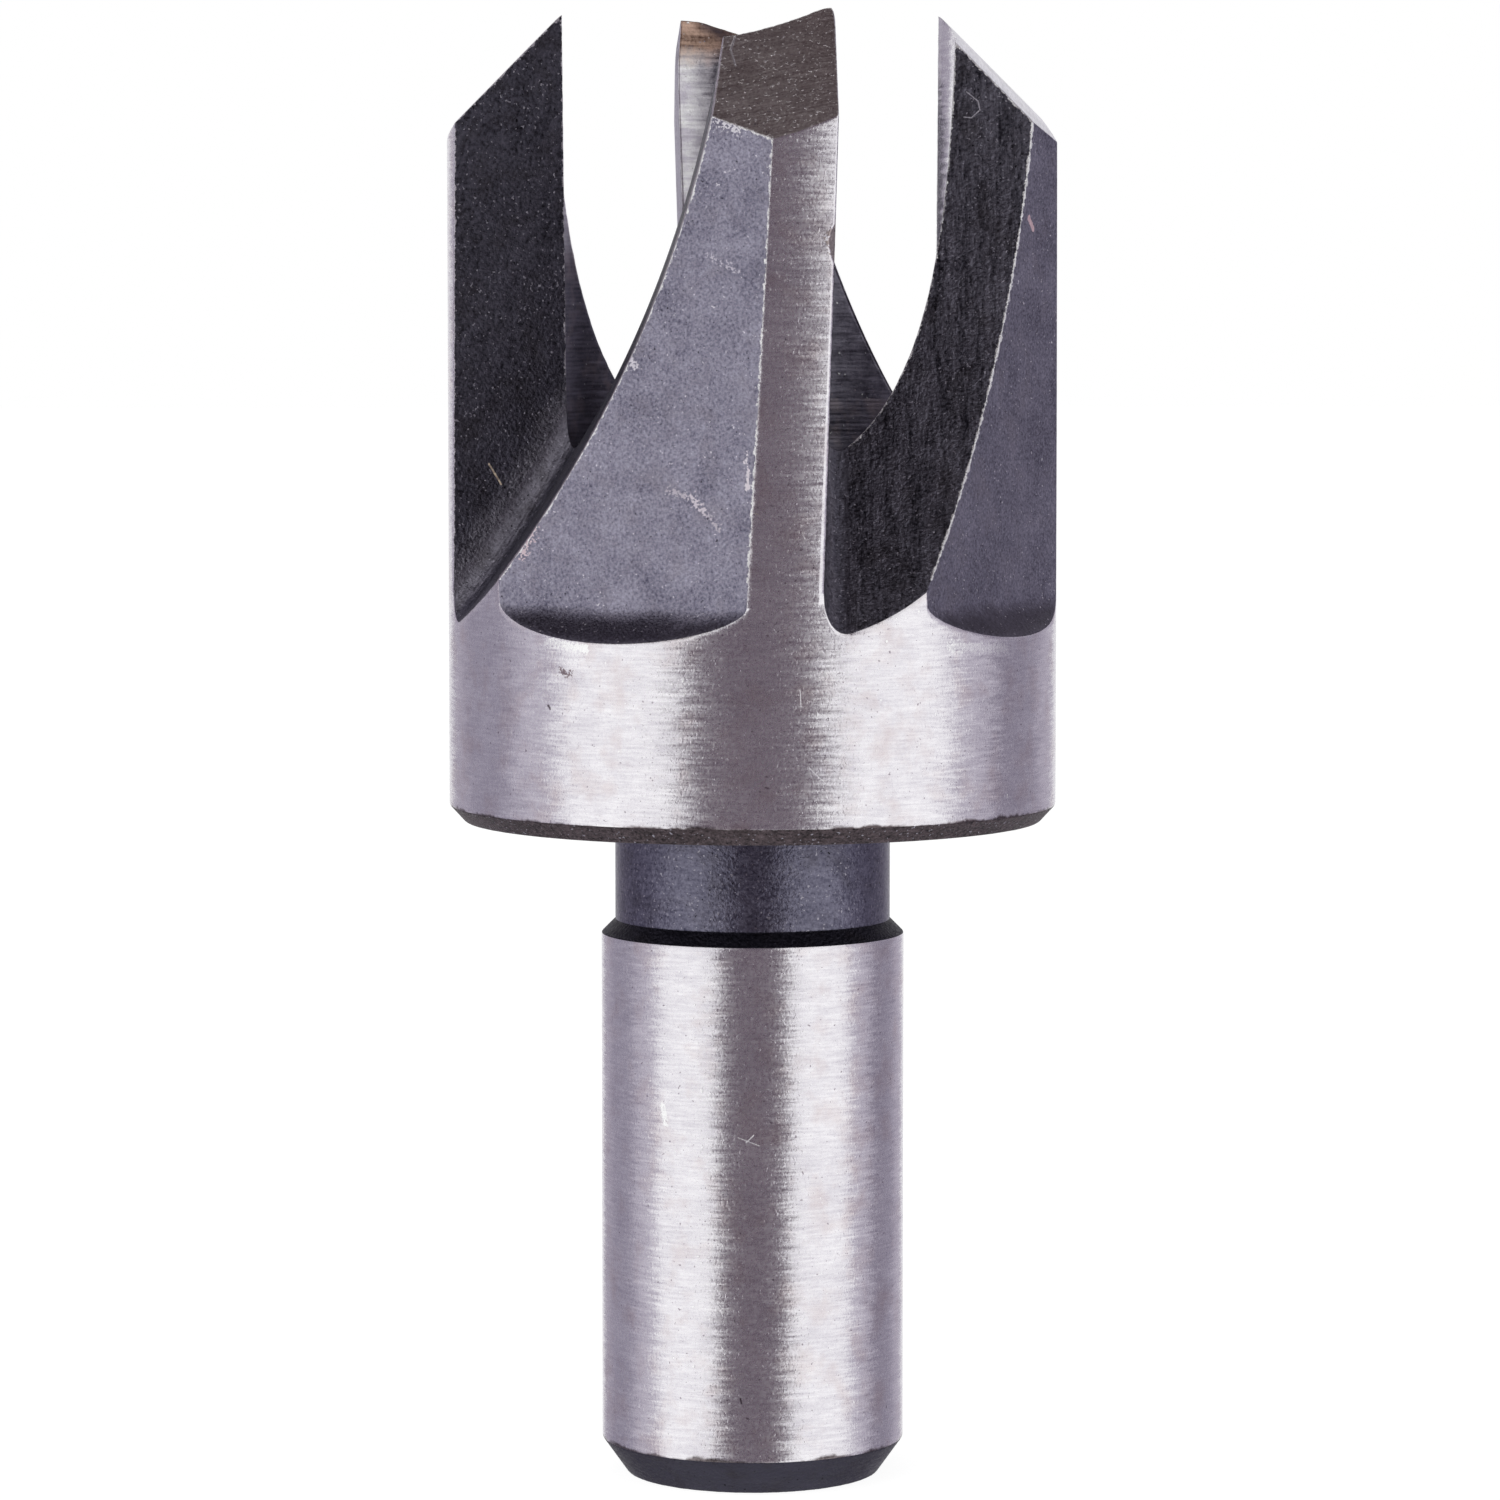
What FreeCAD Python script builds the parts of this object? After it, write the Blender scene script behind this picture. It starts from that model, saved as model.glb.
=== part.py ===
import FreeCAD, Part
import os
import math
import Sketcher

# Four-claw plug cutter for 16 mm wooden plugs, turned and ground from one bar of tool steel.
# It stands on the end of its shank: the origin is the middle of that end, and +Z runs to the claw tips.
# Seen from the tips it turns counter-clockwise, so every claw leads with its flat cutting face.
# The worked places below are those of the front claw, on the -Y side, with its cutting face to +X.

os.makedirs("parts", exist_ok=True)
doc = FreeCAD.newDocument("PlugCutter")
sheet = doc.addObject("Spreadsheet::Sheet", "Sizes")

# Driving sizes in millimetres and degrees: alias, value, what it is.
driving = [
    ("shankDia", 12.0, "shank across, held by a drill chuck"),
    ("shankLen", 21.6, "shank from its end to the shoulder"),
    ("endBevelWide", 1.0, "bevel on the shank end, radially"),
    ("endBevelTall", 1.4, "bevel on the shank end, along the axis"),
    ("neckDia", 10.9, "relieved neck across"),
    ("neckLen", 4.5, "shoulder to the underside of the head"),
    ("headDia", 24.0, "head across"),
    ("headLen", 31.8, "underside of the head to the claw tips"),
    ("headBevelWide", 0.6, "bevel under the head, radially"),
    ("headBevelTall", 0.65, "bevel under the head, along the axis"),
    ("plugDia", 16.0, "bore across at the tips, which is the plug cut"),
    ("boreTaper", 1.1, "half angle of the bore, closing inwards"),
    ("boreDepth", 22.0, "straight wall of the bore"),
    ("drillPoint", 118.0, "full angle of the bore's pointed floor"),
    ("clawCount", 4, "claws round the head"),
    ("faceLead", 2.68, "cutting face ahead of the centre plane, at the tip"),
    ("faceHook", 1.75, "forward lean of the cutting face"),
    ("wheelRadius", 47.7, "wheel that sinks the chip slots"),
    ("wheelRise", 6.3, "wheel centre above the tips"),
    ("clawThick", 1.44, "back of the claw behind the centre plane, at the tip"),
    ("slotCorner", 1.1, "round between cutting face and slot floor"),
    ("flatTurn", 31.7, "direction of the clearance flat, behind the claw's middle"),
    ("flatCut", 1.22, "clearance flat below the head's side, at its foot"),
    ("flatLean", 1.65, "inward lean of the clearance flat"),
    ("flatDepth", 24.2, "foot of the clearance flat below the tips"),
    ("flatFoot", 1.5, "round at the foot of the clearance flat"),
    ("tipTurn", 13.1, "direction that the tip bevel falls, behind the claw's middle"),
    ("tipSlope", 47.1, "fall of the tip bevel below level"),
    ("grindStock", 1.0, "blank left above the tips, ground away with the bevels"),
]

# Dependent sizes: alias, formula, what it is.
dependent = [
    ("shankR", "shankDia / 2", "shank radius"),
    ("neckR", "neckDia / 2", "neck radius"),
    ("headR", "headDia / 2", "head radius"),
    ("endFlatR", "shankR - endBevelWide", "flat that the cutter stands on"),
    ("neckStart", "shankLen + shankR - neckR", "top of the 45 degree shoulder"),
    ("headBase", "shankLen + neckLen", "height of the head's underside"),
    ("headBaseR", "headR - headBevelWide", "flat under the head"),
    ("headSide", "headBase + headBevelTall", "height where the head's side starts"),
    ("tipHeight", "headBase + headLen", "height of the claw tips"),
    ("blankTop", "tipHeight + grindStock", "height of the blank"),
    ("boreR", "plugDia / 2", "bore radius at the tips"),
    ("boreTopR", "boreR + grindStock * tan(boreTaper * 1deg)", "bore radius at the blank's top"),
    ("boreFloor", "tipHeight - boreDepth", "height where the bore's wall ends"),
    ("boreFloorR", "boreR - boreDepth * tan(boreTaper * 1deg)", "bore radius at that height"),
    ("borePoint", "boreFloor - boreFloorR / tan(drillPoint / 2 * 1deg)", "height of the bore's point"),
    ("wheelHeight", "tipHeight + wheelRise", "height of the wheel's centre"),
    ("wheelOut", "clawThick + sqrt(wheelRadius ^ 2 - wheelRise ^ 2)", "its centre beside the axis"),
    ("wheelFace", "faceLead * cos(faceHook * 1deg) + wheelRise * sin(faceHook * 1deg)", "wheel's side"),
    ("wheelBack", "wheelFace + headR + slotCorner", "wheel's far side, clear of the head"),
    ("flatFloor", "tipHeight - flatDepth", "height of the ledge under the flat"),
    ("flatStart", "flatFloor + flatFoot", "height where the flat itself starts"),
    ("flatReach", "headR - flatCut", "clearance flat from the axis, at its foot"),
    ("flatTopReach", "flatReach - (blankTop - flatStart) * tan(flatLean * 1deg)", "flat at the top"),
    ("clearR", "headR + grindStock", "just outside the head"),
    ("tipOut", "sqrt(boreR ^ 2 - faceLead ^ 2)", "tip in front of the axis"),
    ("tipReach", "tipOut * cos(tipTurn * 1deg) - faceLead * sin(tipTurn * 1deg)", "tip along the fall"),
    ("bevelTopReach", "tipReach - grindStock / tan(tipSlope * 1deg)", "bevel at the blank's top"),
    ("bevelLow", "tipHeight - (clearR - tipReach) * tan(tipSlope * 1deg)", "bevel out there"),
    ("bevelWide", "2 * (faceLead * cos(tipTurn * 1deg) + clearR * sin(tipTurn * 1deg))", "its cut"),
]

row = 1
for alias, value, meaning in driving:
    sheet.set("A%d" % row, meaning)
    sheet.set("B%d" % row, str(value))
    sheet.setAlias("B%d" % row, alias)
    row += 1
for alias, formula, meaning in dependent:
    sheet.set("A%d" % row, meaning)
    sheet.set("B%d" % row, "=" + formula)
    sheet.setAlias("B%d" % row, alias)
    row += 1
doc.recompute()


def size(alias):
    """Value of a cell, for the first place of a sketch point; no alias means zero."""
    if alias is None:
        return 0.0
    value = sheet.get(alias)
    return float(getattr(value, "Value", value))


def cell(alias):
    """The cell, as an expression names it."""
    return "Sizes." + alias


body = doc.addObject("PartDesign::Body", "PlugCutter")
body.Label = "plug_cutter"


def originPart(role):
    """Plane or axis of the body's own origin."""
    return [item for item in body.Origin.OriginFeatures if item.Role == role][0]


def newSketch(name, role):
    """Sketch on one of the body's own planes."""
    sketch = body.newObject("Sketcher::SketchObject", name)
    sketch.AttachmentSupport = [(originPart(role), "")]
    sketch.MapMode = "FlatFace"
    return sketch


def drawOutline(sketch, corners, rounded=None, radius=None):
    """Closed outline of straight edges, each corner held by the aliases of its two sizes.

    The corner numbered rounded becomes a tangent arc, and its sizes hold the point where its edges
    would meet.
    """
    places = [FreeCAD.Vector(size(across), size(up), 0) for across, up in corners]
    count = len(corners)
    for index in range(count):
        sketch.addGeometry(Part.LineSegment(places[index], places[(index + 1) % count]), False)
    for index, (across, up) in enumerate(corners):
        before = (index - 1) % count
        if index == rounded:
            held = roundCorner(sketch, before, index, places, radius)
        else:
            sketch.addConstraint(Sketcher.Constraint("Coincident", before, 2, index, 1))
            held = index
        holdPoint(sketch, held, "DistanceX", across)
        holdPoint(sketch, held, "DistanceY", up)


def holdPoint(sketch, edge, kind, alias):
    """Hold one size of an edge's first point: to its cell, or on the sketch's own axis where there is none.

    A sketch numbers its horizontal axis -1 and its vertical axis -2.
    """
    if alias is None:
        axis = {"DistanceX": -2, "DistanceY": -1}[kind]
        sketch.addConstraint(Sketcher.Constraint("PointOnObject", edge, 1, axis))
    else:
        held = sketch.addConstraint(Sketcher.Constraint(kind, -1, 1, edge, 1, size(alias)))
        sketch.setExpression("Constraints[%d]" % held, cell(alias))


def roundCorner(sketch, before, after, places, radius):
    """Tangent arc between two edges, and the point that marks their corner."""
    corner = places[after]
    back = (places[before] - corner).normalize()
    ahead = (places[(after + 1) % len(places)] - corner).normalize()
    half = back.getAngle(ahead) / 2
    inwards = (back + ahead).normalize()
    first = corner + back * (size(radius) / math.tan(half))
    last = corner + ahead * (size(radius) / math.tan(half))
    middle = corner + inwards * (size(radius) / math.sin(half) - size(radius))
    arc = sketch.addGeometry(Part.Arc(first, middle, last), False)
    mark = sketch.addGeometry(Part.Point(corner), True)
    startsFirst = sketch.getPoint(arc, 1).distanceToPoint(first) < size(radius) / 2
    sketch.addConstraint(Sketcher.Constraint("PointOnObject", mark, 1, before))
    sketch.addConstraint(Sketcher.Constraint("PointOnObject", mark, 1, after))
    sketch.addConstraint(Sketcher.Constraint("Tangent", before, 2, arc, 1 if startsFirst else 2))
    sketch.addConstraint(Sketcher.Constraint("Tangent", after, 1, arc, 2 if startsFirst else 1))
    held = sketch.addConstraint(Sketcher.Constraint("Radius", arc, size(radius)))
    sketch.setExpression("Constraints[%d]" % held, cell(radius))
    return mark


def turnSketch(sketch, turn):
    """Swing an upright sketch plane about the cutter's axis, to face behind the front claw's middle."""
    sketch.AttachmentOffset = FreeCAD.Placement(
        FreeCAD.Vector(0, 0, 0), FreeCAD.Rotation(FreeCAD.Vector(0, 1, 0), 270 - size(turn)))
    sketch.setExpression("AttachmentOffset.Rotation.Angle", "270 - " + cell(turn))


def cutAcross(name, sketch, width):
    """Straight cut of a section, to both sides of its sketch."""
    pocket = body.newObject("PartDesign::Pocket", name)
    pocket.Profile = sketch
    pocket.Type = "Length"
    pocket.SideType = "Symmetric"
    pocket.setExpression("Length", cell(width))
    return pocket


# Blank: the turned outside, from the shank end to the top of the stock.
blankOutline = newSketch("BlankOutline", "XZ_Plane")
drawOutline(blankOutline, [
    (None, None),
    ("endFlatR", None),
    ("shankR", "endBevelTall"),
    ("shankR", "shankLen"),
    ("neckR", "neckStart"),
    ("neckR", "headBase"),
    ("headBaseR", "headBase"),
    ("headR", "headSide"),
    ("headR", "blankTop"),
    (None, "blankTop"),
])
blank = body.newObject("PartDesign::Revolution", "Blank")
blank.Profile = blankOutline
blank.ReferenceAxis = (blankOutline, ["V_Axis"])
blank.Angle = 360

# Bore: slightly tapered wall that holds the plug, with the drill's pointed floor.
boreOutline = newSketch("BoreOutline", "XZ_Plane")
drawOutline(boreOutline, [
    (None, "borePoint"),
    ("boreFloorR", "boreFloor"),
    ("boreTopR", "blankTop"),
    (None, "blankTop"),
])
bore = body.newObject("PartDesign::Groove", "Bore")
bore.Profile = boreOutline
bore.ReferenceAxis = (boreOutline, ["V_Axis"])
bore.Angle = 360

# Chip slot: a large wheel stands on edge beside the head. Its side leaves the flat cutting face of one
# claw and its rim the curved back of the next, with the wheel's rounded corner between them.
wheelOutline = newSketch("WheelOutline", "YZ_Plane")
wheelOutline.AttachmentOffset = FreeCAD.Placement(
    FreeCAD.Vector(0, size("wheelHeight"), size("wheelOut")),
    FreeCAD.Rotation(FreeCAD.Vector(0, 0, -1), size("faceHook")))
wheelOutline.setExpression("AttachmentOffset.Base.y", cell("wheelHeight"))
wheelOutline.setExpression("AttachmentOffset.Base.z", cell("wheelOut"))
wheelOutline.setExpression("AttachmentOffset.Rotation.Angle", cell("faceHook"))
drawOutline(wheelOutline, [
    ("wheelFace", None),
    ("wheelBack", None),
    ("wheelBack", "wheelRadius"),
    ("wheelFace", "wheelRadius"),
], 3, "slotCorner")
chipSlot = body.newObject("PartDesign::Groove", "ChipSlot")
chipSlot.Profile = wheelOutline
chipSlot.ReferenceAxis = (wheelOutline, ["H_Axis"])
chipSlot.Angle = 360

# Clearance flat behind the land, milled from the tips down to a ledge with a rounded foot.
flatOutline = newSketch("FlatOutline", "XZ_Plane")
turnSketch(flatOutline, "flatTurn")
drawOutline(flatOutline, [
    ("flatReach", "flatFloor"),
    ("clearR", "flatFloor"),
    ("clearR", "blankTop"),
    ("flatTopReach", "blankTop"),
], 0, "flatFoot")
clearanceFlat = cutAcross("ClearanceFlat", flatOutline, "headDia")

# Tip bevel: falls outwards from the sharp inner tip and back from the cutting face.
bevelOutline = newSketch("BevelOutline", "XZ_Plane")
turnSketch(bevelOutline, "tipTurn")
drawOutline(bevelOutline, [
    ("bevelTopReach", "blankTop"),
    ("clearR", "bevelLow"),
    ("clearR", "blankTop"),
])
tipBevel = cutAcross("TipBevel", bevelOutline, "bevelWide")

# The three cuts are repeated for every claw.
claws = body.newObject("PartDesign::PolarPattern", "Claws")
claws.Originals = [chipSlot, clearanceFlat, tipBevel]
claws.Axis = (originPart("Z_Axis"), [""])
claws.Angle = 360
claws.setExpression("Occurrences", cell("clawCount"))
body.Tip = claws
doc.recompute()

# Each step takes material away, so every volume is less than the one before.
steps = [blank, bore, chipSlot, clearanceFlat, tipBevel, claws]
for feature in doc.Objects:
    if "Invalid" in feature.State or "Error" in feature.State:
        raise RuntimeError(feature.Label + " did not build: " + ", ".join(feature.State))
for sketch in (blankOutline, boreOutline, wheelOutline, flatOutline, bevelOutline):
    if sketch.solve() != 0:
        raise RuntimeError(sketch.Label + " is not solved")
for before, after in zip(steps, steps[1:]):
    removed = before.Shape.Volume - after.Shape.Volume
    print("%s takes away %.1f cubic mm" % (after.Label, removed))
    if removed <= 0:
        raise RuntimeError(after.Label + " cuts nothing")
shape = body.Shape
if shape.isNull() or not shape.isValid() or len(shape.Solids) != 1:
    raise RuntimeError("the cutter is not one valid solid")
print("box", shape.BoundBox, "volume %.1f" % shape.Volume, "faces", len(shape.Faces))
shape.exportStep("parts/" + body.Label + ".step")
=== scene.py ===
import math
import bpy
import numpy as np
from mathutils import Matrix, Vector


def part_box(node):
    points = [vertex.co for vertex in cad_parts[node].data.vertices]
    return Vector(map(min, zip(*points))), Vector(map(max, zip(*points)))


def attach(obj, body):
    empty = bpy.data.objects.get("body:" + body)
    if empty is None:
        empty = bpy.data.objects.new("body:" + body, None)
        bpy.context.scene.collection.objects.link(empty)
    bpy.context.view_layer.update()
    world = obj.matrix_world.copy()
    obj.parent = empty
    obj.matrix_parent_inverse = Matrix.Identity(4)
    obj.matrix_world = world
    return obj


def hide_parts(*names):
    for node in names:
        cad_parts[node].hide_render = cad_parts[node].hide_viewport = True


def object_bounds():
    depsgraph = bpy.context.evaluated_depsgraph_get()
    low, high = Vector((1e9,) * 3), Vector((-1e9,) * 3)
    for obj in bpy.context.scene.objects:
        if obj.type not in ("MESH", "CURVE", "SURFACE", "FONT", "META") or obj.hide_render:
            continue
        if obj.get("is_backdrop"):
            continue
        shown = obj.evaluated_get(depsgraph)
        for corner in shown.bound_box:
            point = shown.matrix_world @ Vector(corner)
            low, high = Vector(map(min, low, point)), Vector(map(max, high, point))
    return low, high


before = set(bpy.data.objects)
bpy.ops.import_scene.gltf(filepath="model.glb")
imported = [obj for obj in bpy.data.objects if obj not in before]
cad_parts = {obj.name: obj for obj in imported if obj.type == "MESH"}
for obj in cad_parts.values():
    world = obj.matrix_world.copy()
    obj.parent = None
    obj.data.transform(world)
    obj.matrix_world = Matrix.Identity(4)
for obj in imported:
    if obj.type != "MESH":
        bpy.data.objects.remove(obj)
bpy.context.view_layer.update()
mm = 0.001

# Plug cutter: sizes in millimetres and degrees. The head's radius and the tips' height come from the frame.
nodeLow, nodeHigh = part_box("plug_cutter")
cutter = {
    "headRadius": round((nodeHigh.x - nodeLow.x) / 2 / mm, 2),
    "tipHeight": round(nodeHigh.z / mm, 2),
    "shankRadius": 6.0,
    "shankLength": 21.6,
    "endBevelWide": 1.0,
    "endBevelTall": 1.4,
    "neckRadius": 5.45,
    "neckLength": 4.5,
    "headBevelWide": 0.6,
    "headBevelTall": 0.65,
    "boreRadius": 8.0,       # at the tips
    "boreTaper": 1.1,
    "boreDepth": 22.0,
    "drillPoint": 118.0,
    "faceLead": 2.68,        # cutting face ahead of the centre plane
    "faceHook": 1.75,        # its forward lean
    "wheelRadius": 47.7,     # wheel that ground the chip slots
    "wheelRise": 6.3,        # its centre above the tips
    "clawThick": 1.44,       # claw's back behind the centre plane
    "slotCorner": 1.1,       # round of the wheel's corner
    "flatCut": 1.22,         # clearance flat below the head's side, at its foot
    "flatLean": 1.55,
    "flatDepth": 24.2,       # foot of the flat below the tips
    "footTall": 1.36,        # height of its sloping foot
    "footBow": 1.2,          # 2 would make that slope straight, and less makes its start steeper
    "footHeld": 0.05,        # share of its way out within which its slope is held for the normals
    "tipSoft": 0.12,         # how gently the blunt tip goes over into the bevel
    "bevelLong": 1.47,       # way down the tip bevel for each mm outwards, for its marks
    "bevelSkew": 0.25,       # how much those marks slant
    "bevelStep": 0.02,       # its slope is measured that far to both sides
    "crescentLong": 5.0,     # length that the points of the slot's outer line are spread for
    "ringGap": 0.9,          # plain head between the flat's foot and the turned body
    "boreRingGap": 2.2,      # plain bore wall between its floor and the slots
    "edgeStep": 0.08,        # first row of the mesh beside an edge, which the broken edge spans
    "edgeGrowth": 1.7,       # each further row is that many times as wide
    "edgeTurn": 6.0,         # an edge is where surfaces meet at more than twice this
    "edgeLeast": 0.6,        # share of the first row that it is broken at least,
    "edgeUneven": 0.5,       # and how much more at random
    "edgeSeed": 7,
    "edgeHeld": 0.8,         # half turn, in radians, past which it isn't broken deeper
    # worn edges, drawn as bare metal and as a painted highlight along the broken edge: where they start, and
    # how wide they are by finish
    "edgeFrom": 0.9,         # worn edges start that far above the foot
    "edgeWorn": {"flat": 0.95, "back": 0.7, "face": 0.6, "bevel": 0.7},   # by finish, the others keep theirs
}
# The claws were ground by hand, one at a time: front, left, back and right.
# tipTurn is the way that the tip bevel falls, tipRise how far above the tips its plane would come.
# each claw also sets how wide its worn edges, partly a painted highlight, are drawn
claws = [
    {"place": 0, "flatTurn": 30.9, "tipTurn": 13.1, "tipSlope": 47.1, "tipRise": 0.05, "tipFull": 0.1,
     "tipBlunt": 0.18, "tipWear": 0.12, "wearReach": 0.5, "edgeWorn": 0.75, "looks": {"back": "backRubbed"},
     "nick": {"height": 48.8, "tall": 1.4, "deep": 0.2}},
    {"place": -90, "flatTurn": 31.7, "tipTurn": 6.0, "tipSlope": 45.4, "tipRise": -0.2, "tipFull": 0.1,
     "tipBlunt": 0.2, "tipWear": 0.04, "wearReach": 0.5, "edgeWorn": 1, "looks": {"slot": "slotLedge"}},
    {"place": 180, "flatTurn": 31.7, "tipTurn": 13.1, "tipSlope": 46.0, "tipRise": 0.25, "tipFull": 0.3,
     "tipBlunt": 0.0, "tipWear": 0.2, "wearReach": 1.4, "edgeWorn": 1,
     "looks": {"bore": "boreHot", "face": "facePale"}},
    {"place": 90, "flatTurn": 33.4, "tipTurn": 13.1, "tipSlope": 45.5, "tipRise": 0.05, "tipFull": 0.1,
     "tipBlunt": 0.0, "tipWear": 0.04, "wearReach": 0.5, "edgeWorn": 1.1,
     "looks": {"bore": "boreSide", "flat": "flatSide", "bevel": "bevelSide"}},
]
# Points along each kind of line in the claw's mesh.
rows = {"across": 18, "high": 64, "side": 7, "crescent": 20, "corner": 11, "flat": 26, "land": 14, "low": 7,
        "foot": 9, "profile": 16}
rows["trail"] = rows["high"] - rows["side"] + 1
rows["under"] = rows["crescent"] - rows["side"] + 1
rows["rim"] = rows["flat"] + rows["land"] - 1
# How often a value is worked out again and a length is halved, in how many lots points are measured, and to
# how many decimal places they have to agree to be welded.
counts = {"again": 60, "halvings": 40, "lots": 60, "places": 4}

hook = math.radians(cutter["faceHook"])
taper = math.tan(math.radians(cutter["boreTaper"]))
flatSlope = math.tan(math.radians(cutter["flatLean"]))
boreFloor = cutter["tipHeight"] - cutter["boreDepth"]
boreRing = boreFloor + cutter["boreRingGap"]
flatFloor = cutter["tipHeight"] - cutter["flatDepth"]
ringHeight = flatFloor - cutter["ringGap"]
upward = np.array([0.0, 0.0, 1.0])
# the slot wheel: its middle, the way of its axis, the way down square to it, and its side's place on the axis
wheelHeight = cutter["tipHeight"] + cutter["wheelRise"]
wheelOut = cutter["clawThick"] + math.sqrt(cutter["wheelRadius"] ** 2 - cutter["wheelRise"] ** 2)
wheelMiddle = np.array([-wheelOut, 0.0, wheelHeight])
wheelAxis = np.array([0.0, math.cos(hook), math.sin(hook)])
wheelDown = np.array([0.0, math.sin(hook), -math.cos(hook)])
wheelFace = cutter["faceLead"] * math.cos(hook) + cutter["wheelRise"] * math.sin(hook)


def ways(degrees):
    # two level directions: out of the cutter at that turn from the front, and square to it
    angle = math.radians(degrees)
    outward = np.array([-math.sin(angle), -math.cos(angle), 0.0])
    return outward, np.array([-math.cos(angle), math.sin(angle), 0.0])


def turned(points, degrees):
    # points turned about the cutter's axis: x and y mixed by the turn's cosine and sine
    angle = math.radians(degrees)
    turn = [[math.cos(angle), math.sin(angle), 0], [-math.sin(angle), math.cos(angle), 0], [0, 0, 1]]
    return points @ np.array(turn)


def turnOf(points):
    # turn of each point about the axis, in radians from the front towards -X
    return np.arctan2(-points[..., 0], -points[..., 1])


def around(radius, turn, z):
    # point at that distance from the axis, at that turn and height
    return np.stack(np.broadcast_arrays(-radius * np.sin(turn), -radius * np.cos(turn), z), -1)


def unit(vectors):
    # each vector over its own length
    return vectors / np.linalg.norm(vectors, axis=-1, keepdims=True)


def spaced(length, count):
    # shares of a line: steps grow from edgeStep at both ends until they are as even as the length allows
    rank = np.minimum(np.arange(count - 1), np.arange(count - 1)[::-1])
    steps = cutter["edgeStep"] * cutter["edgeGrowth"] ** rank
    low, high = 0.0, length
    for halving in range(counts["halvings"]):
        cap = (low + high) / 2
        if np.minimum(steps, cap).sum() < length:
            low = cap
        else:
            high = cap
    walked = np.concatenate([[0], np.cumsum(np.minimum(steps, cap))])
    return walked / walked[-1]


def shares(points):
    # share of its own length that a line has walked at each of its points
    walked = np.concatenate([[0], np.cumsum(np.linalg.norm(np.diff(points, axis=0), axis=1))])
    return walked / walked[-1] if walked[-1] > 0 else np.linspace(0, 1, len(points))


def between(first, last, share):
    # points at those shares of the straight way between two
    return first + (last - first) * share[:, None]


def heights(first, last, share):
    # heights at those shares of the way between two points
    return first[2] + (last[2] - first[2]) * share


def settled(value, step):
    # a value that stays the same when the step is worked out from it again
    for again in range(counts["again"]):
        value = step(value)
    return value


# Surfaces of one claw, in its own place at the front (-Y) with its cutting face towards +X.

def faceX(z):
    # cutting face: a plane that leans forward with height
    return cutter["faceLead"] + (z - cutter["tipHeight"]) * math.tan(hook)


def boreRadius(z):
    # bore: its radius shrinks with depth at the taper's rate
    return cutter["boreRadius"] - (cutter["tipHeight"] - z) * taper


def headWall(z):
    # head's side: the same radius at every height
    return cutter["headRadius"] + 0 * z


def backX(y, z):
    # back of the claw: the wheel's rim, a circle about an axis along Y that the hook tips
    rise = (z - wheelHeight) * math.cos(hook) - y * math.sin(hook)
    return -wheelOut + np.sqrt(cutter["wheelRadius"] ** 2 - rise ** 2)


def flatReach(z):
    # clearance flat: its distance from the axis falls with height
    return cutter["headRadius"] - cutter["flatCut"] - (z - flatFloor) * flatSlope


def bevelZ(claw, x, y):
    # tip bevel: a plane that falls from the tip, outwards and to the back, a little full along its inner edge
    # and blunted near the highest level that the tip still reaches
    way, fall = math.radians(claw["tipTurn"]), math.tan(math.radians(claw["tipSlope"]))
    along = (cutTip[0] - x) * math.sin(way) + (cutTip[1] - y) * math.cos(way)
    across = np.clip((x + cutter["clawThick"]) / (cutTip[0] + cutter["clawThick"]), 0, 1)
    outwards = (np.hypot(x, y) - cutter["boreRadius"]) / (cutter["headRadius"] - cutter["boreRadius"])
    full = claw["tipFull"] * 4 * across * (1 - across) * np.clip(1 - outwards, 0, 1)
    sharp = cutter["tipHeight"] + claw["tipRise"] - along * fall + full
    cap = cutter["tipHeight"] - claw["tipBlunt"]
    return (sharp + cap - np.sqrt((sharp - cap) ** 2 + cutter["tipSoft"] ** 2)) / 2


def onHead(turn, z):
    # point on the head's side
    return around(cutter["headRadius"], turn, z)


def onWheel(along, radius, angle):
    # point at that place along the wheel's axis, that far from it, angle down from level
    x = -wheelOut + radius * np.cos(angle)
    y = -along * math.cos(hook) + radius * np.sin(angle) * math.sin(hook)
    z = wheelHeight - along * math.sin(hook) - radius * np.sin(angle) * math.cos(hook)
    return np.stack(np.broadcast_arrays(x, y, z), -1)


def wheelMeets(along, radius, wall):
    # where that circle of the wheel comes to a wall: its x there gives the angle, better each time
    def closer(angle):
        point = onWheel(along, radius, angle)
        x = -np.sqrt(wall(point[..., 2]) ** 2 - point[..., 1] ** 2)
        return np.arccos((x + wheelOut) / radius)
    guess = 0.6 + 0 * along
    return onWheel(along, radius, settled(guess, closer))


def faceOn(wall, z):
    # where the cutting face meets a wall: y is the other side of a right triangle of the wall's radius and x
    x = faceX(z)
    return np.stack([x, -np.sqrt(wall(z) ** 2 - x ** 2), z], -1)


def backOnBore(z):
    # where the back meets the bore: y from the bore's radius and the back's x, which depends on y a little
    start = -cutter["boreRadius"] + 0 * z
    y = settled(start, lambda y: -np.sqrt(boreRadius(z) ** 2 - backX(y, z) ** 2))
    return np.stack([backX(y, z), y, z], -1)


def backOnFlat(turn, z):
    # where the back meets the flat: y from the flat's reach and the back's x, which depends on y a little
    start = -cutter["boreRadius"] + 0 * z
    y = settled(start, lambda y: -(flatReach(z) + backX(y, z) * math.sin(turn)) / math.cos(turn))
    return np.stack([backX(y, z), y, z], -1)


def backOnHead(turn):
    # where the back meets the head's side at that turn: its height is where the rim's circle has that x
    x, y = -cutter["headRadius"] * np.sin(turn), -cutter["headRadius"] * np.cos(turn)
    rise = -np.sqrt(cutter["wheelRadius"] ** 2 - (x + wheelOut) ** 2)
    return np.stack([x, y, wheelHeight + (rise + y * math.sin(hook)) / math.cos(hook)], -1)


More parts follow.
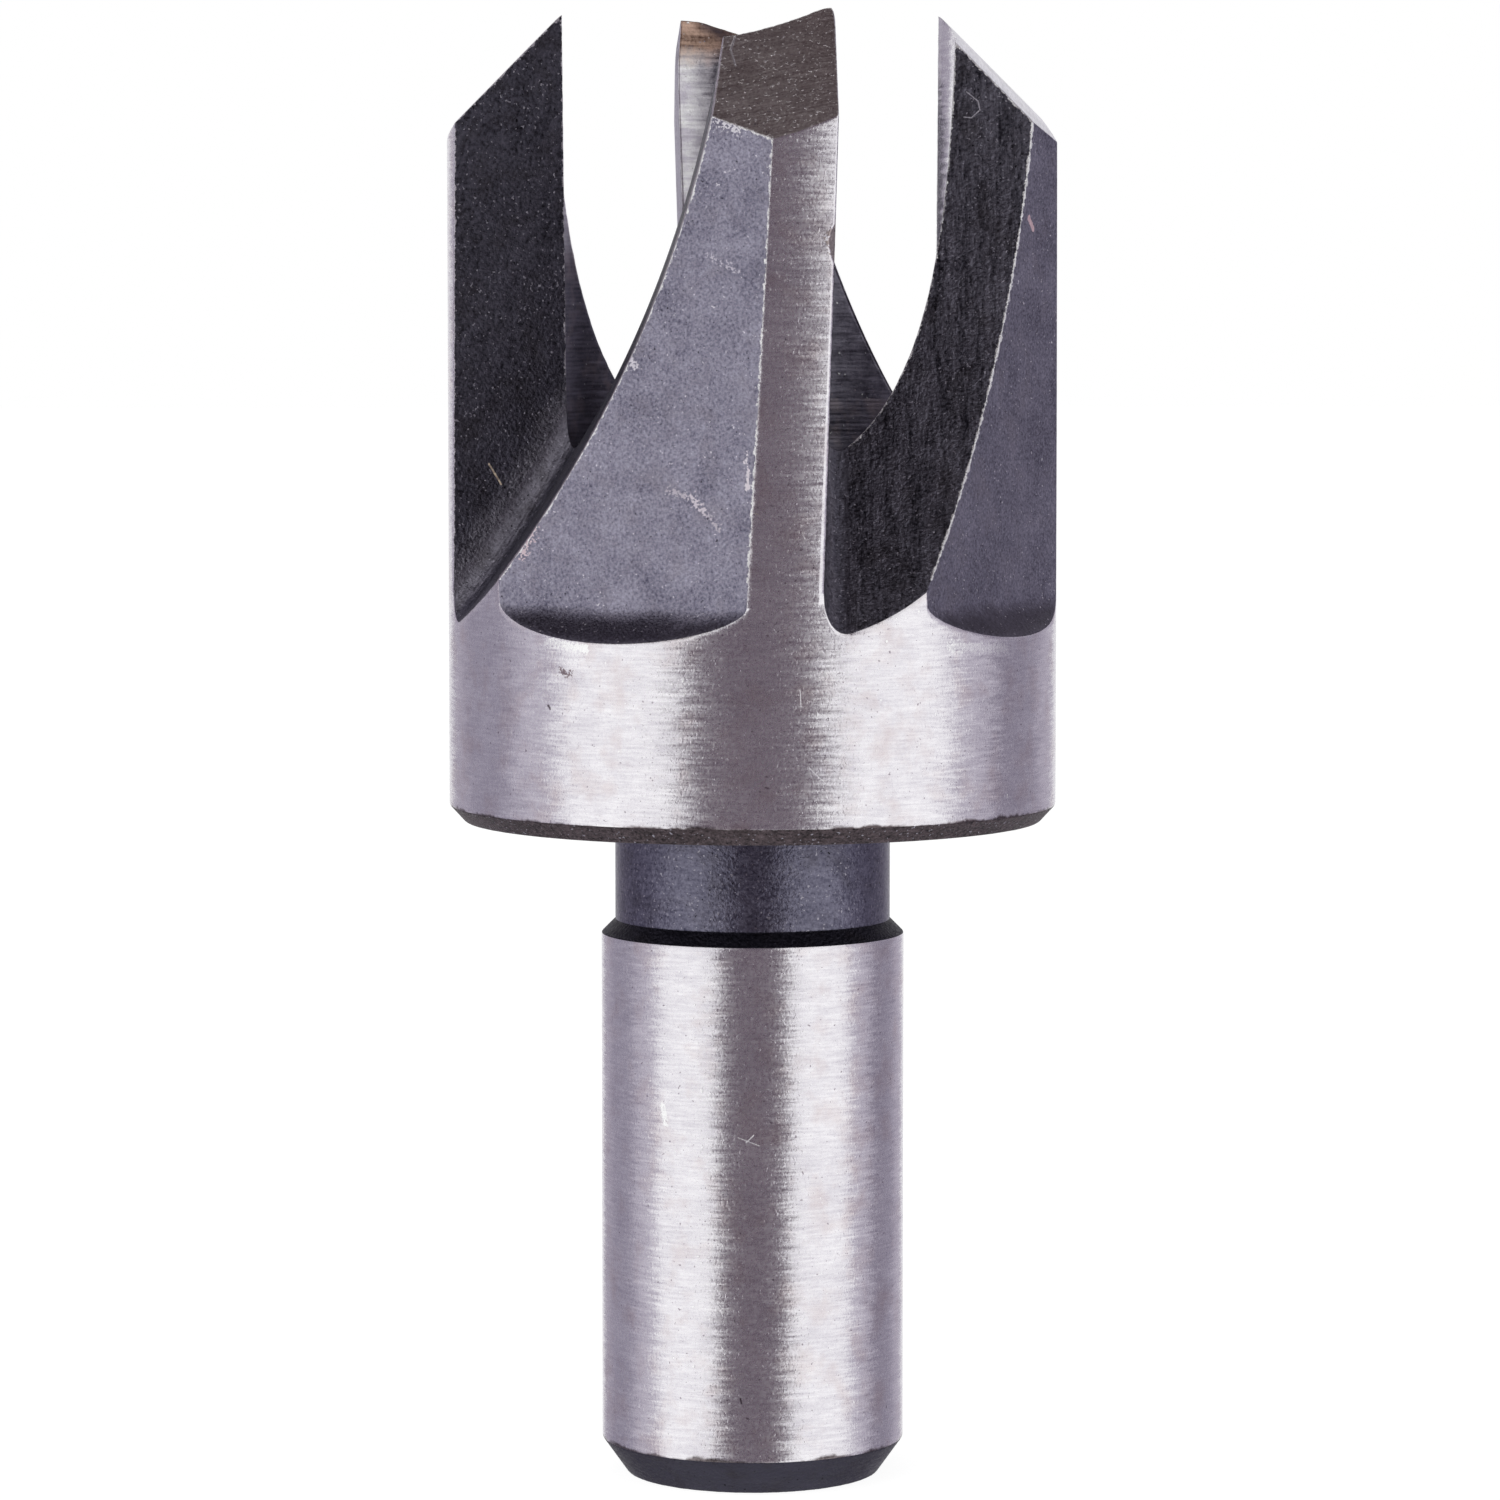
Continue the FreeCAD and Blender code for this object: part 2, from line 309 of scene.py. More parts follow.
def footShare(reach):
    # 0 at the flat and 1 at the head's side, as the root of the way between them
    return np.sqrt(np.clip((reach - footStart) / (cutter["headRadius"] - footStart), 0, 1))


def footHeight(share):
    # foot of the flat: steep at first, then an even slope out to the head's side
    return footTop - cutter["footTall"] * share ** cutter["footBow"]


def flatTurns(turn, z, side):
    # where the flat leaves the head's side: side -1 next to the land, 1 next to the slot
    return turn + side * np.arccos(flatReach(z) / cutter["headRadius"])


footTop = flatFloor + cutter["footTall"]
footStart = flatReach(footTop)
cutTip = faceOn(boreRadius, cutter["tipHeight"])


def wheelLine(first, last, along, radius):
    # one circle of the wheel from the bore to the head: its angle goes from one end's to the other's
    start, end = (math.acos((point[0] + wheelOut) / radius) for point in (first, last))
    angles = start + (end - start) * spaced(np.linalg.norm(last - first), rows["across"])
    line = onWheel(along, radius, angles)
    line[0], line[-1] = first, last
    return line


def upright(point, wall, low):
    # line up a wall to a point from that height, each point set out to the wall's radius
    foot = point * [1, 1, 0] * wall(low) / math.hypot(point[0], point[1]) + upward * low
    points = between(foot, point, np.linspace(0, 1, rows["low"]))
    points[:, :2] *= wall(points[:, 2:]) / np.hypot(points[:, :1], points[:, 1:2])
    return points


def wallArc(first, last, share, wall, level=None):
    # line round a wall: the turn, and the height if it isn't level, go from one point's to the other's
    start, end = turnOf(first), turnOf(last)
    z = heights(first, last, share) if level is None else level + 0 * share
    points = around(wall(z), start + (end - start) * share, z)
    if level is None:
        points[0], points[-1] = first, last
    return points


# Each kind of surface is laid flat, filled between its four border lines and lifted again.

def turnAndHeight(points):
    # round wall laid flat: turn and height
    return np.stack([turnOf(points), points[..., 2]], -1)


def wheelParts(points):
    # place along the wheel's axis, distance from it, and angle down from level
    away = points - wheelMiddle
    down = away @ wheelDown
    return -(away @ wheelAxis), np.hypot(away[..., 0], down), np.arctan2(down, away[..., 0])


def cornerParts(points):
    # ways from the middle of the wheel's round, to its side and to its rim, and angle down from level
    along, radius, angle = wheelParts(points)
    toSide = wheelFace + cutter["slotCorner"] - along
    return toSide, radius - cutter["wheelRadius"] + cutter["slotCorner"], angle


def cornerRound(sweep):
    # quarter circle from the wheel's side to its rim: place along the axis and distance from it
    along = wheelFace + cutter["slotCorner"] * (1 - np.cos(sweep))
    return along, cutter["wheelRadius"] - cutter["slotCorner"] * (1 - np.sin(sweep))


def cornerFlatten(points):
    # rounded corner laid flat: sweep round its section and angle round the wheel
    toSide, toRim, angle = cornerParts(points)
    return np.stack([np.arctan2(toRim, toSide), angle], -1)


def cornerNormal(points):
    # from the rounded corner of the slot to the middle of its round
    angle = wheelParts(points)[2]
    middle = onWheel(wheelFace + cutter["slotCorner"], cutter["wheelRadius"] - cutter["slotCorner"], angle)
    return unit(middle - points)


def backNormal(points):
    # from the wheel's rim straight to its axis
    away = points - wheelMiddle
    return -unit(away - (away @ wheelAxis)[..., None] * wheelAxis)


def wheelMarks(points):
    # the wheel's marks: across them the way over its side, corner and rim, along them the way round it
    toSide, toRim, angle = cornerParts(points)
    sweep = np.clip(np.arctan2(toRim, toSide), 0, math.pi / 2)
    across = np.minimum(toRim, 0) + cutter["slotCorner"] * sweep - np.minimum(toSide, 0)
    return np.stack([across, angle * cutter["wheelRadius"]], -1)


def surface(kind, claw):
    # how a kind is laid flat and lifted, its outward normal, and its place across and along its marks, in mm
    outward, sideways = ways(claw["flatTurn"])
    fallWay, sideWay = ways(claw["tipTurn"])

    def plane(normal, points):
        # the same direction at every point
        return np.broadcast_to(unit(np.array(normal)), points.shape)

    def roundMarks(radius):
        # turning marks: across them by height, along them round the cutter
        start = math.radians(claw["place"])
        return lambda points: np.stack([points[..., 2], (turnOf(points) - start) * radius], -1)

    def flatLift(flat):
        # the flat's reach outwards at that height, and the way sideways
        side, z = flat[..., :1], flat[..., 1:]
        return outward * flatReach(z) + sideways * side + upward * z

    def flatMarks(points):
        # across by height, along by the way sideways
        return np.stack([points[..., 2], points @ sideways], -1)

    def footFlatten(points):
        # way sideways, and share of the way out to the head's side
        return np.stack([points @ sideways, footShare(points @ outward)], -1)

    def footLift(flat):
        # the reach goes with the share's square, and the height falls by the foot's curve
        reach = footStart + (cutter["headRadius"] - footStart) * flat[..., 1:] ** 2
        return outward * reach + sideways * flat[..., :1] + upward * footHeight(flat[..., 1:])

    def footNormal(points):
        # up, and out by the foot's fall for each mm of reach, which is held where it would be endless
        share, bow = np.maximum(footShare(points @ outward), cutter["footHeld"]), cutter["footBow"]
        fall = cutter["footTall"] * bow / 2 / share ** (2 - bow) / (cutter["headRadius"] - footStart)
        return unit(outward * fall[..., None] + upward)

    def bevelNormal(points):
        # from the bevel's fall towards x and y over a small step
        x, y, step = points[..., 0], points[..., 1], cutter["bevelStep"]
        fallX = bevelZ(claw, x - step, y) - bevelZ(claw, x + step, y)
        fallY = bevelZ(claw, x, y - step) - bevelZ(claw, x, y + step)
        return unit(np.stack([fallX, fallY, 2 * step + 0 * x], -1))

    def bevelMarks(points):
        # across by the way down the bevel, skewed a little, along by the way level
        level = -(points @ sideWay)
        return np.stack([points @ fallWay * cutter["bevelLong"] + level * cutter["bevelSkew"], level], -1)

    def boreNormal(points):
        # towards the axis, and up by the taper
        return unit(points * [-1, -1, 0] + np.hypot(points[..., :1], points[..., 1:2]) * taper * upward)

    kinds = {
        "head": (
            turnAndHeight, lambda flat: onHead(flat[..., 0], flat[..., 1]),
            lambda points: unit(points * [1, 1, 0]), roundMarks(cutter["headRadius"])),
        "bore": (
            turnAndHeight, lambda flat: around(boreRadius(flat[..., 1]), flat[..., 0], flat[..., 1]),
            boreNormal, roundMarks(cutter["boreRadius"])),
        "face": (
            lambda points: points[..., 1:], lambda flat: np.concatenate([faceX(flat[..., 1:]), flat], -1),
            lambda points: plane([1, 0, -math.tan(hook)], points),
            lambda points: wheelMarks(turned(points, -90))),
        "back": (
            lambda points: points[..., 1:],
            lambda flat: np.concatenate([backX(flat[..., :1], flat[..., 1:]), flat], -1),
            backNormal, wheelMarks),
        "corner": (
            cornerFlatten, lambda flat: onWheel(*cornerRound(flat[..., 0]), flat[..., 1]),
            cornerNormal, wheelMarks),
        "flat": (
            lambda points: np.stack([points @ sideways, points[..., 2]], -1), flatLift,
            lambda points: plane(outward + upward * flatSlope, points), flatMarks),
        "foot": (footFlatten, footLift, footNormal, flatMarks),
        "bevel": (
            lambda points: points[..., :2],
            lambda flat: np.concatenate([flat, bevelZ(claw, flat[..., :1], flat[..., 1:])], -1),
            bevelNormal, bevelMarks),
    }
    return kinds[kind]


def patch(finish, kind, low, high, left, right, claw):
    # grid between four lines: laid flat, the two pairs of lines are blended and their corners taken off once
    flatten, lift, facing, marks = surface(kind, claw)
    a = ((shares(low) + shares(high)) / 2)[:, None, None]
    b = ((shares(left) + shares(right)) / 2)[None, :, None]
    lowFlat, highFlat, leftFlat, rightFlat = (flatten(line) for line in (low, high, left, right))
    flat = (1 - b) * lowFlat[:, None] + b * highFlat[:, None] + (1 - a) * leftFlat[None] + a * rightFlat[None]
    flat -= (1 - a) * (1 - b) * lowFlat[0] + a * (1 - b) * lowFlat[-1]
    flat -= (1 - a) * b * highFlat[0] + a * b * highFlat[-1]
    points = lift(flat)
    points[:, 0], points[:, -1], points[0], points[-1] = low, high, left, right
    # the cutting corner is worn back, by a bell curve of the distance from the tip
    apart = np.linalg.norm(points - cutTip, axis=-1)
    wornBack = claw["tipWear"] * np.exp(-(apart / claw["wearReach"]) ** 2)
    return {
        "finish": finish, "worn": cutter["edgeWorn"].get(finish, 0) * claw["edgeWorn"],
        "points": turned(points - wornBack[..., None] * [1, 0, 0], claw["place"]),
        "normals": turned(facing(points), claw["place"]), "marks": marks(points)}


def lathePatch(finish, first, last, turns):
    # lathe surface: a straight run from one radius and height to another, carried round at the given turns
    (r0, z0), (r1, z1) = first, last
    length = math.hypot(r1 - r0, z1 - z0)
    share, turn = spaced(length, rows["profile"])[None], turns[:, None]
    radius, height = r0 + (r1 - r0) * share, z0 + (z1 - z0) * share
    outwards, upwards = (z1 - z0) / length, (r0 - r1) / length
    marks = np.broadcast_arrays(share * length + z0 + r0, turn * max(r0, r1))
    return {
        "finish": finish, "worn": 0, "points": around(radius, turn, height),
        "normals": around(outwards, turn, upwards + 0 * radius), "marks": np.stack(marks, -1)}


def clawLines(claw):
    # border lines of one claw, each a row of points in the claw's own place
    turn = math.radians(claw["flatTurn"])
    outward, sideways = ways(claw["flatTurn"])

    def onBevel(curve, like=0.0):
        # where a curve, or a row of them, given by the height along it comes to the tip bevel
        top = cutter["tipHeight"] + 0 * like
        return curve(settled(top, lambda z: bevelZ(claw, *np.moveaxis(curve(z), -1, 0)[:2])))

    def apart(first, last, name):
        # shares of the way between two points, close together at its ends
        return spaced(np.linalg.norm(last - first), rows[name])

    along, radius = cornerRound(spaced(cutter["slotCorner"] * math.pi / 2, rows["corner"]) * math.pi / 2)
    inner, outer = wheelMeets(along, radius, boreRadius), wheelMeets(along, radius, headWall)
    line = {"innerCorner": inner, "outerCorner": outer}
    line["faceFoot"] = wheelLine(inner[0], outer[0], along[0], radius[0])
    line["backFoot"] = wheelLine(inner[-1], outer[-1], along[-1], radius[-1])
    line["ownFoot"] = turned(line["faceFoot"], 90)   # foot of this claw's own cutting face
    gather, ownEnd = line["ownFoot"][0], line["ownFoot"][-1]
    # corners of the tip, of the flat and of the slot
    tip = onBevel(lambda z: faceOn(boreRadius, z))
    front = onBevel(lambda z: faceOn(headWall, z))
    landEnd = onBevel(lambda z: onHead(flatTurns(turn, z, -1), z))
    heel = onBevel(lambda z: backOnFlat(turn, z))
    innerHeel = onBevel(backOnBore)
    footRight, footLeft = (onHead(flatTurns(turn, footTop, side), footTop) for side in (-1, 1))
    slotSide = settled(flatTurns(turn, footTop, 1), lambda at: flatTurns(turn, backOnHead(at)[2], 1))
    slotCorner = backOnHead(slotSide)
    level = backOnBore(gather[2])   # on the back, as high as the inner foot of the cutting face
    # lines up the claw
    high = spaced(front[2] - ownEnd[2], rows["high"])
    line["faceBore"] = faceOn(boreRadius, heights(gather, tip, high))
    line["faceHead"] = faceOn(headWall, heights(ownEnd, front, high))
    if "nick" in claw:
        # small dent in the cutting edge: a parabola over its height
        nick, edge = claw["nick"], line["faceHead"]
        dent = nick["deep"] * np.clip(1 - ((edge[:, 2] - nick["height"]) / nick["tall"] * 2) ** 2, 0, 1)
        x = edge[:, 0] - dent
        edge[:, :2] = np.stack([x, -np.sqrt(cutter["headRadius"] ** 2 - x ** 2)], -1)
    z = heights(footRight, landEnd, high)
    line["flatLand"] = onHead(flatTurns(turn, z, -1), z)
    z = heights(footLeft, slotCorner, np.linspace(0, 1, rows["side"]))
    line["flatSide"] = onHead(flatTurns(turn, z, 1), z)
    trail = spaced(heel[2] - slotCorner[2], rows["trail"])
    line["backFlat"] = backOnFlat(turn, heights(slotCorner, heel, trail))
    line["backBoreHigh"] = backOnBore(heights(level, innerHeel, high))
    line["backBoreLow"] = backOnBore(heights(inner[-1], level, np.linspace(0, 1, rows["under"])))
    # lines round the tip bevel
    y = tip[1] + (front[1] - tip[1]) * apart(tip, front, "across")
    line["faceBevel"] = onBevel(lambda z: np.stack([faceX(z), y, z], -1), y)
    back = innerHeel[1] + (heel[1] - innerHeel[1]) * apart(innerHeel, heel, "across")
    line["backBevel"] = onBevel(lambda z: np.stack([backX(back, z), back, z], -1), back)
    rim = innerHeel[0] + (tip[0] - innerHeel[0]) * apart(innerHeel, tip, "rim")
    line["boreBevel"] = onBevel(
        lambda z: np.stack([rim, -np.sqrt(boreRadius(z) ** 2 - rim ** 2), z], -1), rim)
    side = heel @ sideways + (landEnd - heel) @ sideways * apart(heel, landEnd, "flat")[:, None]
    line["flatBevel"] = onBevel(
        lambda z: outward * flatReach(z)[:, None] + sideways * side + upward * z[:, None], side[:, 0])
    turns = turnOf(landEnd) + (turnOf(front) - turnOf(landEnd)) * apart(landEnd, front, "land")
    line["landBevel"] = onBevel(lambda z: onHead(turns, z), turns)
    # lines round the foot and the slot
    line["footTop"] = between(footLeft, footRight, apart(footLeft, footRight, "flat"))
    turns = turnOf(line["footTop"])
    line["footLow"] = onHead(turns, footHeight(footShare(cutter["headRadius"] * np.cos(turns - turn))))
    line["footLow"][0], line["footLow"][-1] = footLeft, footRight
    share = spaced(cutter["crescentLong"], rows["crescent"])
    line["crescent"] = backOnHead(slotSide + (turnOf(outer[-1]) - slotSide) * share)
    # rings and uprights that only divide the plain walls
    even = {name: np.linspace(0, 1, rows[name]) for name in ("land", "flat", "rim")}
    line["landFoot"] = wallArc(footRight, ownEnd, even["land"], headWall)
    line["levelArc"] = wallArc(level, gather, even["rim"], boreRadius)
    line["slotLine"] = np.concatenate([line["flatSide"], line["crescent"][1:], outer[::-1][1:]])
    line["innerLine"] = np.concatenate([line["backBoreLow"], line["levelArc"][1:]])[::-1]
    line["innerLine"] = np.concatenate([line["innerLine"], inner[::-1][1:]])
    line["ringLand"] = wallArc(footRight, ownEnd, even["land"], headWall, ringHeight)
    line["ringFlat"] = wallArc(footLeft, footRight, even["flat"], headWall, ringHeight)
    line["ringSlot"] = wallArc(footLeft, outer[0], shares(line["slotLine"]), headWall, ringHeight)
    line["boreRing"] = wallArc(gather, inner[0], shares(line["innerLine"]), boreRadius, boreRing)
    for name, point in (("Face", ownEnd), ("Land", footRight), ("Side", footLeft), ("Slot", outer[0])):
        line["upright" + name] = upright(point, headWall, ringHeight)
    for name, point in (("Bore", gather), ("BoreSlot", inner[0])):
        line["upright" + name] = upright(point, boreRadius, boreRing)
    # borders of two lines each, and the foot's ends, where its lines come to one point
    pairs = {
        "backInner": (line["backBoreLow"], line["backBoreHigh"]),
        "backOuter": (line["crescent"][::-1], line["backFlat"]),
        "flatLeft": (line["flatSide"], line["backFlat"]),
        "bevelOuter": (line["flatBevel"], line["landBevel"])}
    for name, (start, end) in pairs.items():
        line[name] = np.concatenate([start, end[1:]])
    line["footFirst"] = line["footTop"][:1].repeat(rows["foot"], 0)
    line["footLast"] = line["footTop"][-1:].repeat(rows["foot"], 0)
    return line


# Patches of a claw: finish, kind of surface, and its border lines: low, high, left and right.
clawParts = [
    ("face", "face", "ownFoot", "faceBevel", "faceBore", "faceHead"),
    ("slot", "corner", "innerCorner", "outerCorner", "faceFoot", "backFoot"),
    ("back", "back", "backFoot", "backBevel", "backInner", "backOuter"),
    ("flat", "flat", "footTop", "flatBevel", "flatLeft", "flatLand"),
    ("flat", "foot", "footTop", "footLow", "footFirst", "footLast"),
    ("bevel", "bevel", "boreBevel", "bevelOuter", "backBevel", "faceBevel"),
    ("ground", "head", "landFoot", "landBevel", "flatLand", "faceHead"),
    ("ground", "head", "ringLand", "landFoot", "uprightLand", "uprightFace"),
    ("ground", "head", "ringFlat", "footLow", "uprightSide", "uprightLand"),
    ("ground", "head", "ringSlot", "slotLine", "uprightSide", "uprightSlot"),
    ("bore", "bore", "levelArc", "boreBevel", "backBoreHigh", "faceBore"),
    ("boreLow", "bore", "boreRing", "innerLine", "uprightBore", "uprightBoreSlot"),
]


def ringTurns(lines, parts):
    # turns of a ring's points, claw by claw from the back of the cutter on, each part forwards or backwards
    turns = []
    for claw, line in sorted(zip(claws, lines), key=lambda pair: -pair[0]["place"]):
        for name, step in parts:
            turns.append(turnOf(line[name][::step])[:-1] - math.radians(claw["place"]))
    turns = np.concatenate(turns)
    return np.append(turns, turns[0] + 2 * math.pi)


def buildPatches():
    # every surface of the cutter: those of the claws, then the turned body and the bottom of the bore
    lines = [clawLines(claw) for claw in claws]
    patches = []
    for claw, line in zip(claws, lines):
        for finish, kind, *names in clawParts:
            finish = claw["looks"].get(finish, finish)
            patches.append(patch(finish, kind, *(line[name] for name in names), claw))
    shank, neck, head = cutter["shankRadius"], cutter["neckRadius"], cutter["headRadius"]
    top, under = cutter["shankLength"] + cutter["neckLength"], head - cutter["headBevelWide"]
    floorRadius = boreRadius(boreFloor)
    drillTip = boreFloor - floorRadius / math.tan(math.radians(cutter["drillPoint"] / 2))
    # radius and height of each corner, with the finish of the run that ends there
    outline = [
        ("", 0, 0), ("end", shank - cutter["endBevelWide"], 0), ("endBevel", shank, cutter["endBevelTall"]),
        ("shank", shank, cutter["shankLength"]), ("shoulder", neck, cutter["shankLength"] + shank - neck),
        ("neck", neck, top), ("under", under, top), ("headBevel", head, top + cutter["headBevelTall"]),
        ("ground", head, ringHeight)]
    hollow = [
        ("", boreRadius(boreRing), boreRing), ("boreLow", floorRadius, boreFloor), ("boreFloor", 0, drillTip)]
    outside = ringTurns(lines, [("ringLand", -1), ("ringFlat", -1), ("ringSlot", 1)])
    inside = ringTurns(lines, [("boreRing", 1)])
    for corners, turns in ((outline, outside), (hollow, inside)):
        for (_, *first), (finish, *last) in zip(corners, corners[1:]):
            patches.append(lathePatch(finish, first, last, turns))
    return patches


def edgeGaps(points, starts, ends, worn):
    # least way from each point to a run of worn edge, over how wide that run's line of wear and painted
    # highlight is: the nearest place on a run is at the reach along it over its length squared, as a share of
    # it, held between its ends
    runs = ends - starts
    squares = (runs ** 2).sum(1)
    gaps = []
    for some in np.array_split(points, counts["lots"]):
        reach = some @ runs.T - (starts * runs).sum(1)
        share = np.clip(reach / squares, 0, 1)
        away = (some ** 2).sum(1)[:, None] - 2 * some @ starts.T + (starts ** 2).sum(1)
        away += share * (share * squares - 2 * reach)
        gaps.append((np.sqrt(np.maximum(away, 0)) / worn).min(1))
    return np.concatenate(gaps)


def joined(name, patches):
    # one mesh, and the names of its materials: points that coincide are welded, and quads that closed up at a
    # pole become triangles
    points = np.concatenate([one["points"].reshape(-1, 3) for one in patches])
    normals = np.concatenate([one["normals"].reshape(-1, 3) for one in patches])
    marks = np.concatenate([one["marks"].reshape(-1, 2) for one in patches])
    names = sorted({looks[one["finish"]]["name"] for one in patches})
    quads, finishOf, borders, start = [], [], [], 0
    for one in patches:
        n, m = one["points"].shape[:2]
        grid = np.arange(start, start + n * m).reshape(n, m)
        start += n * m
        faces = np.stack([grid[:-1, :-1], grid[1:, :-1], grid[1:, 1:], grid[:-1, 1:]], -1).reshape(-1, 4)
        a, b, c, d = (points[faces[:, corner]] for corner in range(4))
        outwards = (np.cross(c - a, d - b) * normals[faces[:, 0]]).sum() > 0
        quads.append(faces if outwards else faces[:, ::-1])
        finishOf.append(np.full(len(faces), names.index(looks[one["finish"]]["name"])))
        if one["worn"]:
            borders += [(one["worn"], line) for line in (grid[0], grid[-1], grid[:, 0], grid[:, -1])]
    quads, finishOf = np.concatenate(quads), np.concatenate(finishOf)
    kept, welded = np.unique(np.round(points, counts["places"]), axis=0, return_inverse=True)
    welded = welded.ravel()
    summed = np.zeros_like(kept)
    np.add.at(summed, welded, normals)
    length = np.linalg.norm(summed, axis=1)
    normal = summed / length[:, None]
    same = welded[quads] == np.roll(welded[quads], 1, axis=1)
    whole, closed = ~same.any(1), same.sum(1) == 1
    triangles = quads[closed][~same[closed]].reshape(-1, 3)
    corners = np.concatenate([quads[whole].ravel(), triangles.ravel()])
    sizes = np.concatenate([np.full(whole.sum(), 4), np.full(closed.sum(), 3)])
    finishOf = np.concatenate([finishOf[whole], finishOf[closed]])
    # edges: where surfaces meet at an angle the point is drawn in, which breaks the edge over one row
    half = np.arccos(np.clip(length / np.bincount(welded), 0, 1))   # half the turn between them
    sharp = half > math.radians(cutter["edgeTurn"])
    chance = np.random.default_rng(cutter["edgeSeed"]).random(len(kept))
    wear = cutter["edgeLeast"] + cutter["edgeUneven"] * chance
    deep = sharp * wear * cutter["edgeStep"] * np.tan(np.minimum(half, cutter["edgeHeld"]) / 2)
    kept = kept - normal * deep[:, None]
    first = np.concatenate([welded[line[:-1]] for worn, line in borders])
    last = np.concatenate([welded[line[1:]] for worn, line in borders])
    worn = np.concatenate([np.full(len(line) - 1, worn) for worn, line in borders])
    low = footTop + cutter["edgeFrom"]
    edge = sharp[first] & sharp[last] & (kept[first, 2] > low) & (kept[last, 2] > low) & (first != last)
    gap = edgeGaps(kept, kept[first[edge]], kept[last[edge]], worn[edge])
    mesh = bpy.data.meshes.new(name)
    mesh.vertices.add(len(kept))
    mesh.vertices.foreach_set("co", (kept * mm).astype(np.float32).ravel())
    mesh.loops.add(len(corners))
    mesh.loops.foreach_set("vertex_index", welded[corners].astype(np.int32))
    mesh.polygons.add(len(sizes))
    mesh.polygons.foreach_set("loop_start", np.concatenate([[0], np.cumsum(sizes)[:-1]]).astype(np.int32))
    mesh.polygons.foreach_set("material_index", finishOf.astype(np.int32))
    mesh.update(calc_edges=True)
    mesh.attributes.new("edgeGap", "FLOAT", "POINT").data.foreach_set("value", gap.astype(np.float32))
    mesh.uv_layers.new(name="marks").data.foreach_set("uv", marks[corners].astype(np.float32).ravel())
    mesh.normals_split_custom_set_from_vertices(normal)
    piece = bpy.data.objects.new(name, mesh)
    bpy.context.scene.collection.objects.link(piece)
    return piece, names


# Materials: colours are sRGB hex values, and patterns are in millimetres. A look's edge colour is worn bare
# metal, and also a painted highlight along the broken edges.

def linear(hexColour):
    # each channel of an sRGB colour made linear, with full cover as the fourth value
    values = [int(hexColour[at:at + 2], 16) / 255 for at in (1, 3, 5)]
    return [value / 12.92 if value < 0.04045 else ((value + 0.055) / 1.055) ** 2.4 for value in values] + [1]


def node(tree, kind, inputs=None, **settings):
    # adds a node with its settings, and its inputs as values or as links from other nodes' outputs
    made = tree.nodes.new("ShaderNode" + kind)
    for key, value in settings.items():
        setattr(made, key, value)
    for socket, value in (inputs or {}).items():
        if isinstance(value, bpy.types.NodeSocket):
            tree.links.new(value, made.inputs[socket])
        else:
            made.inputs[socket].default_value = value
    return made.outputs


def emptyMaterial(name):
    # a material with no nodes yet, and its node tree
    material = bpy.data.materials.new(name)
    material.use_nodes = True
    material.node_tree.nodes.clear()
    return material, material.node_tree


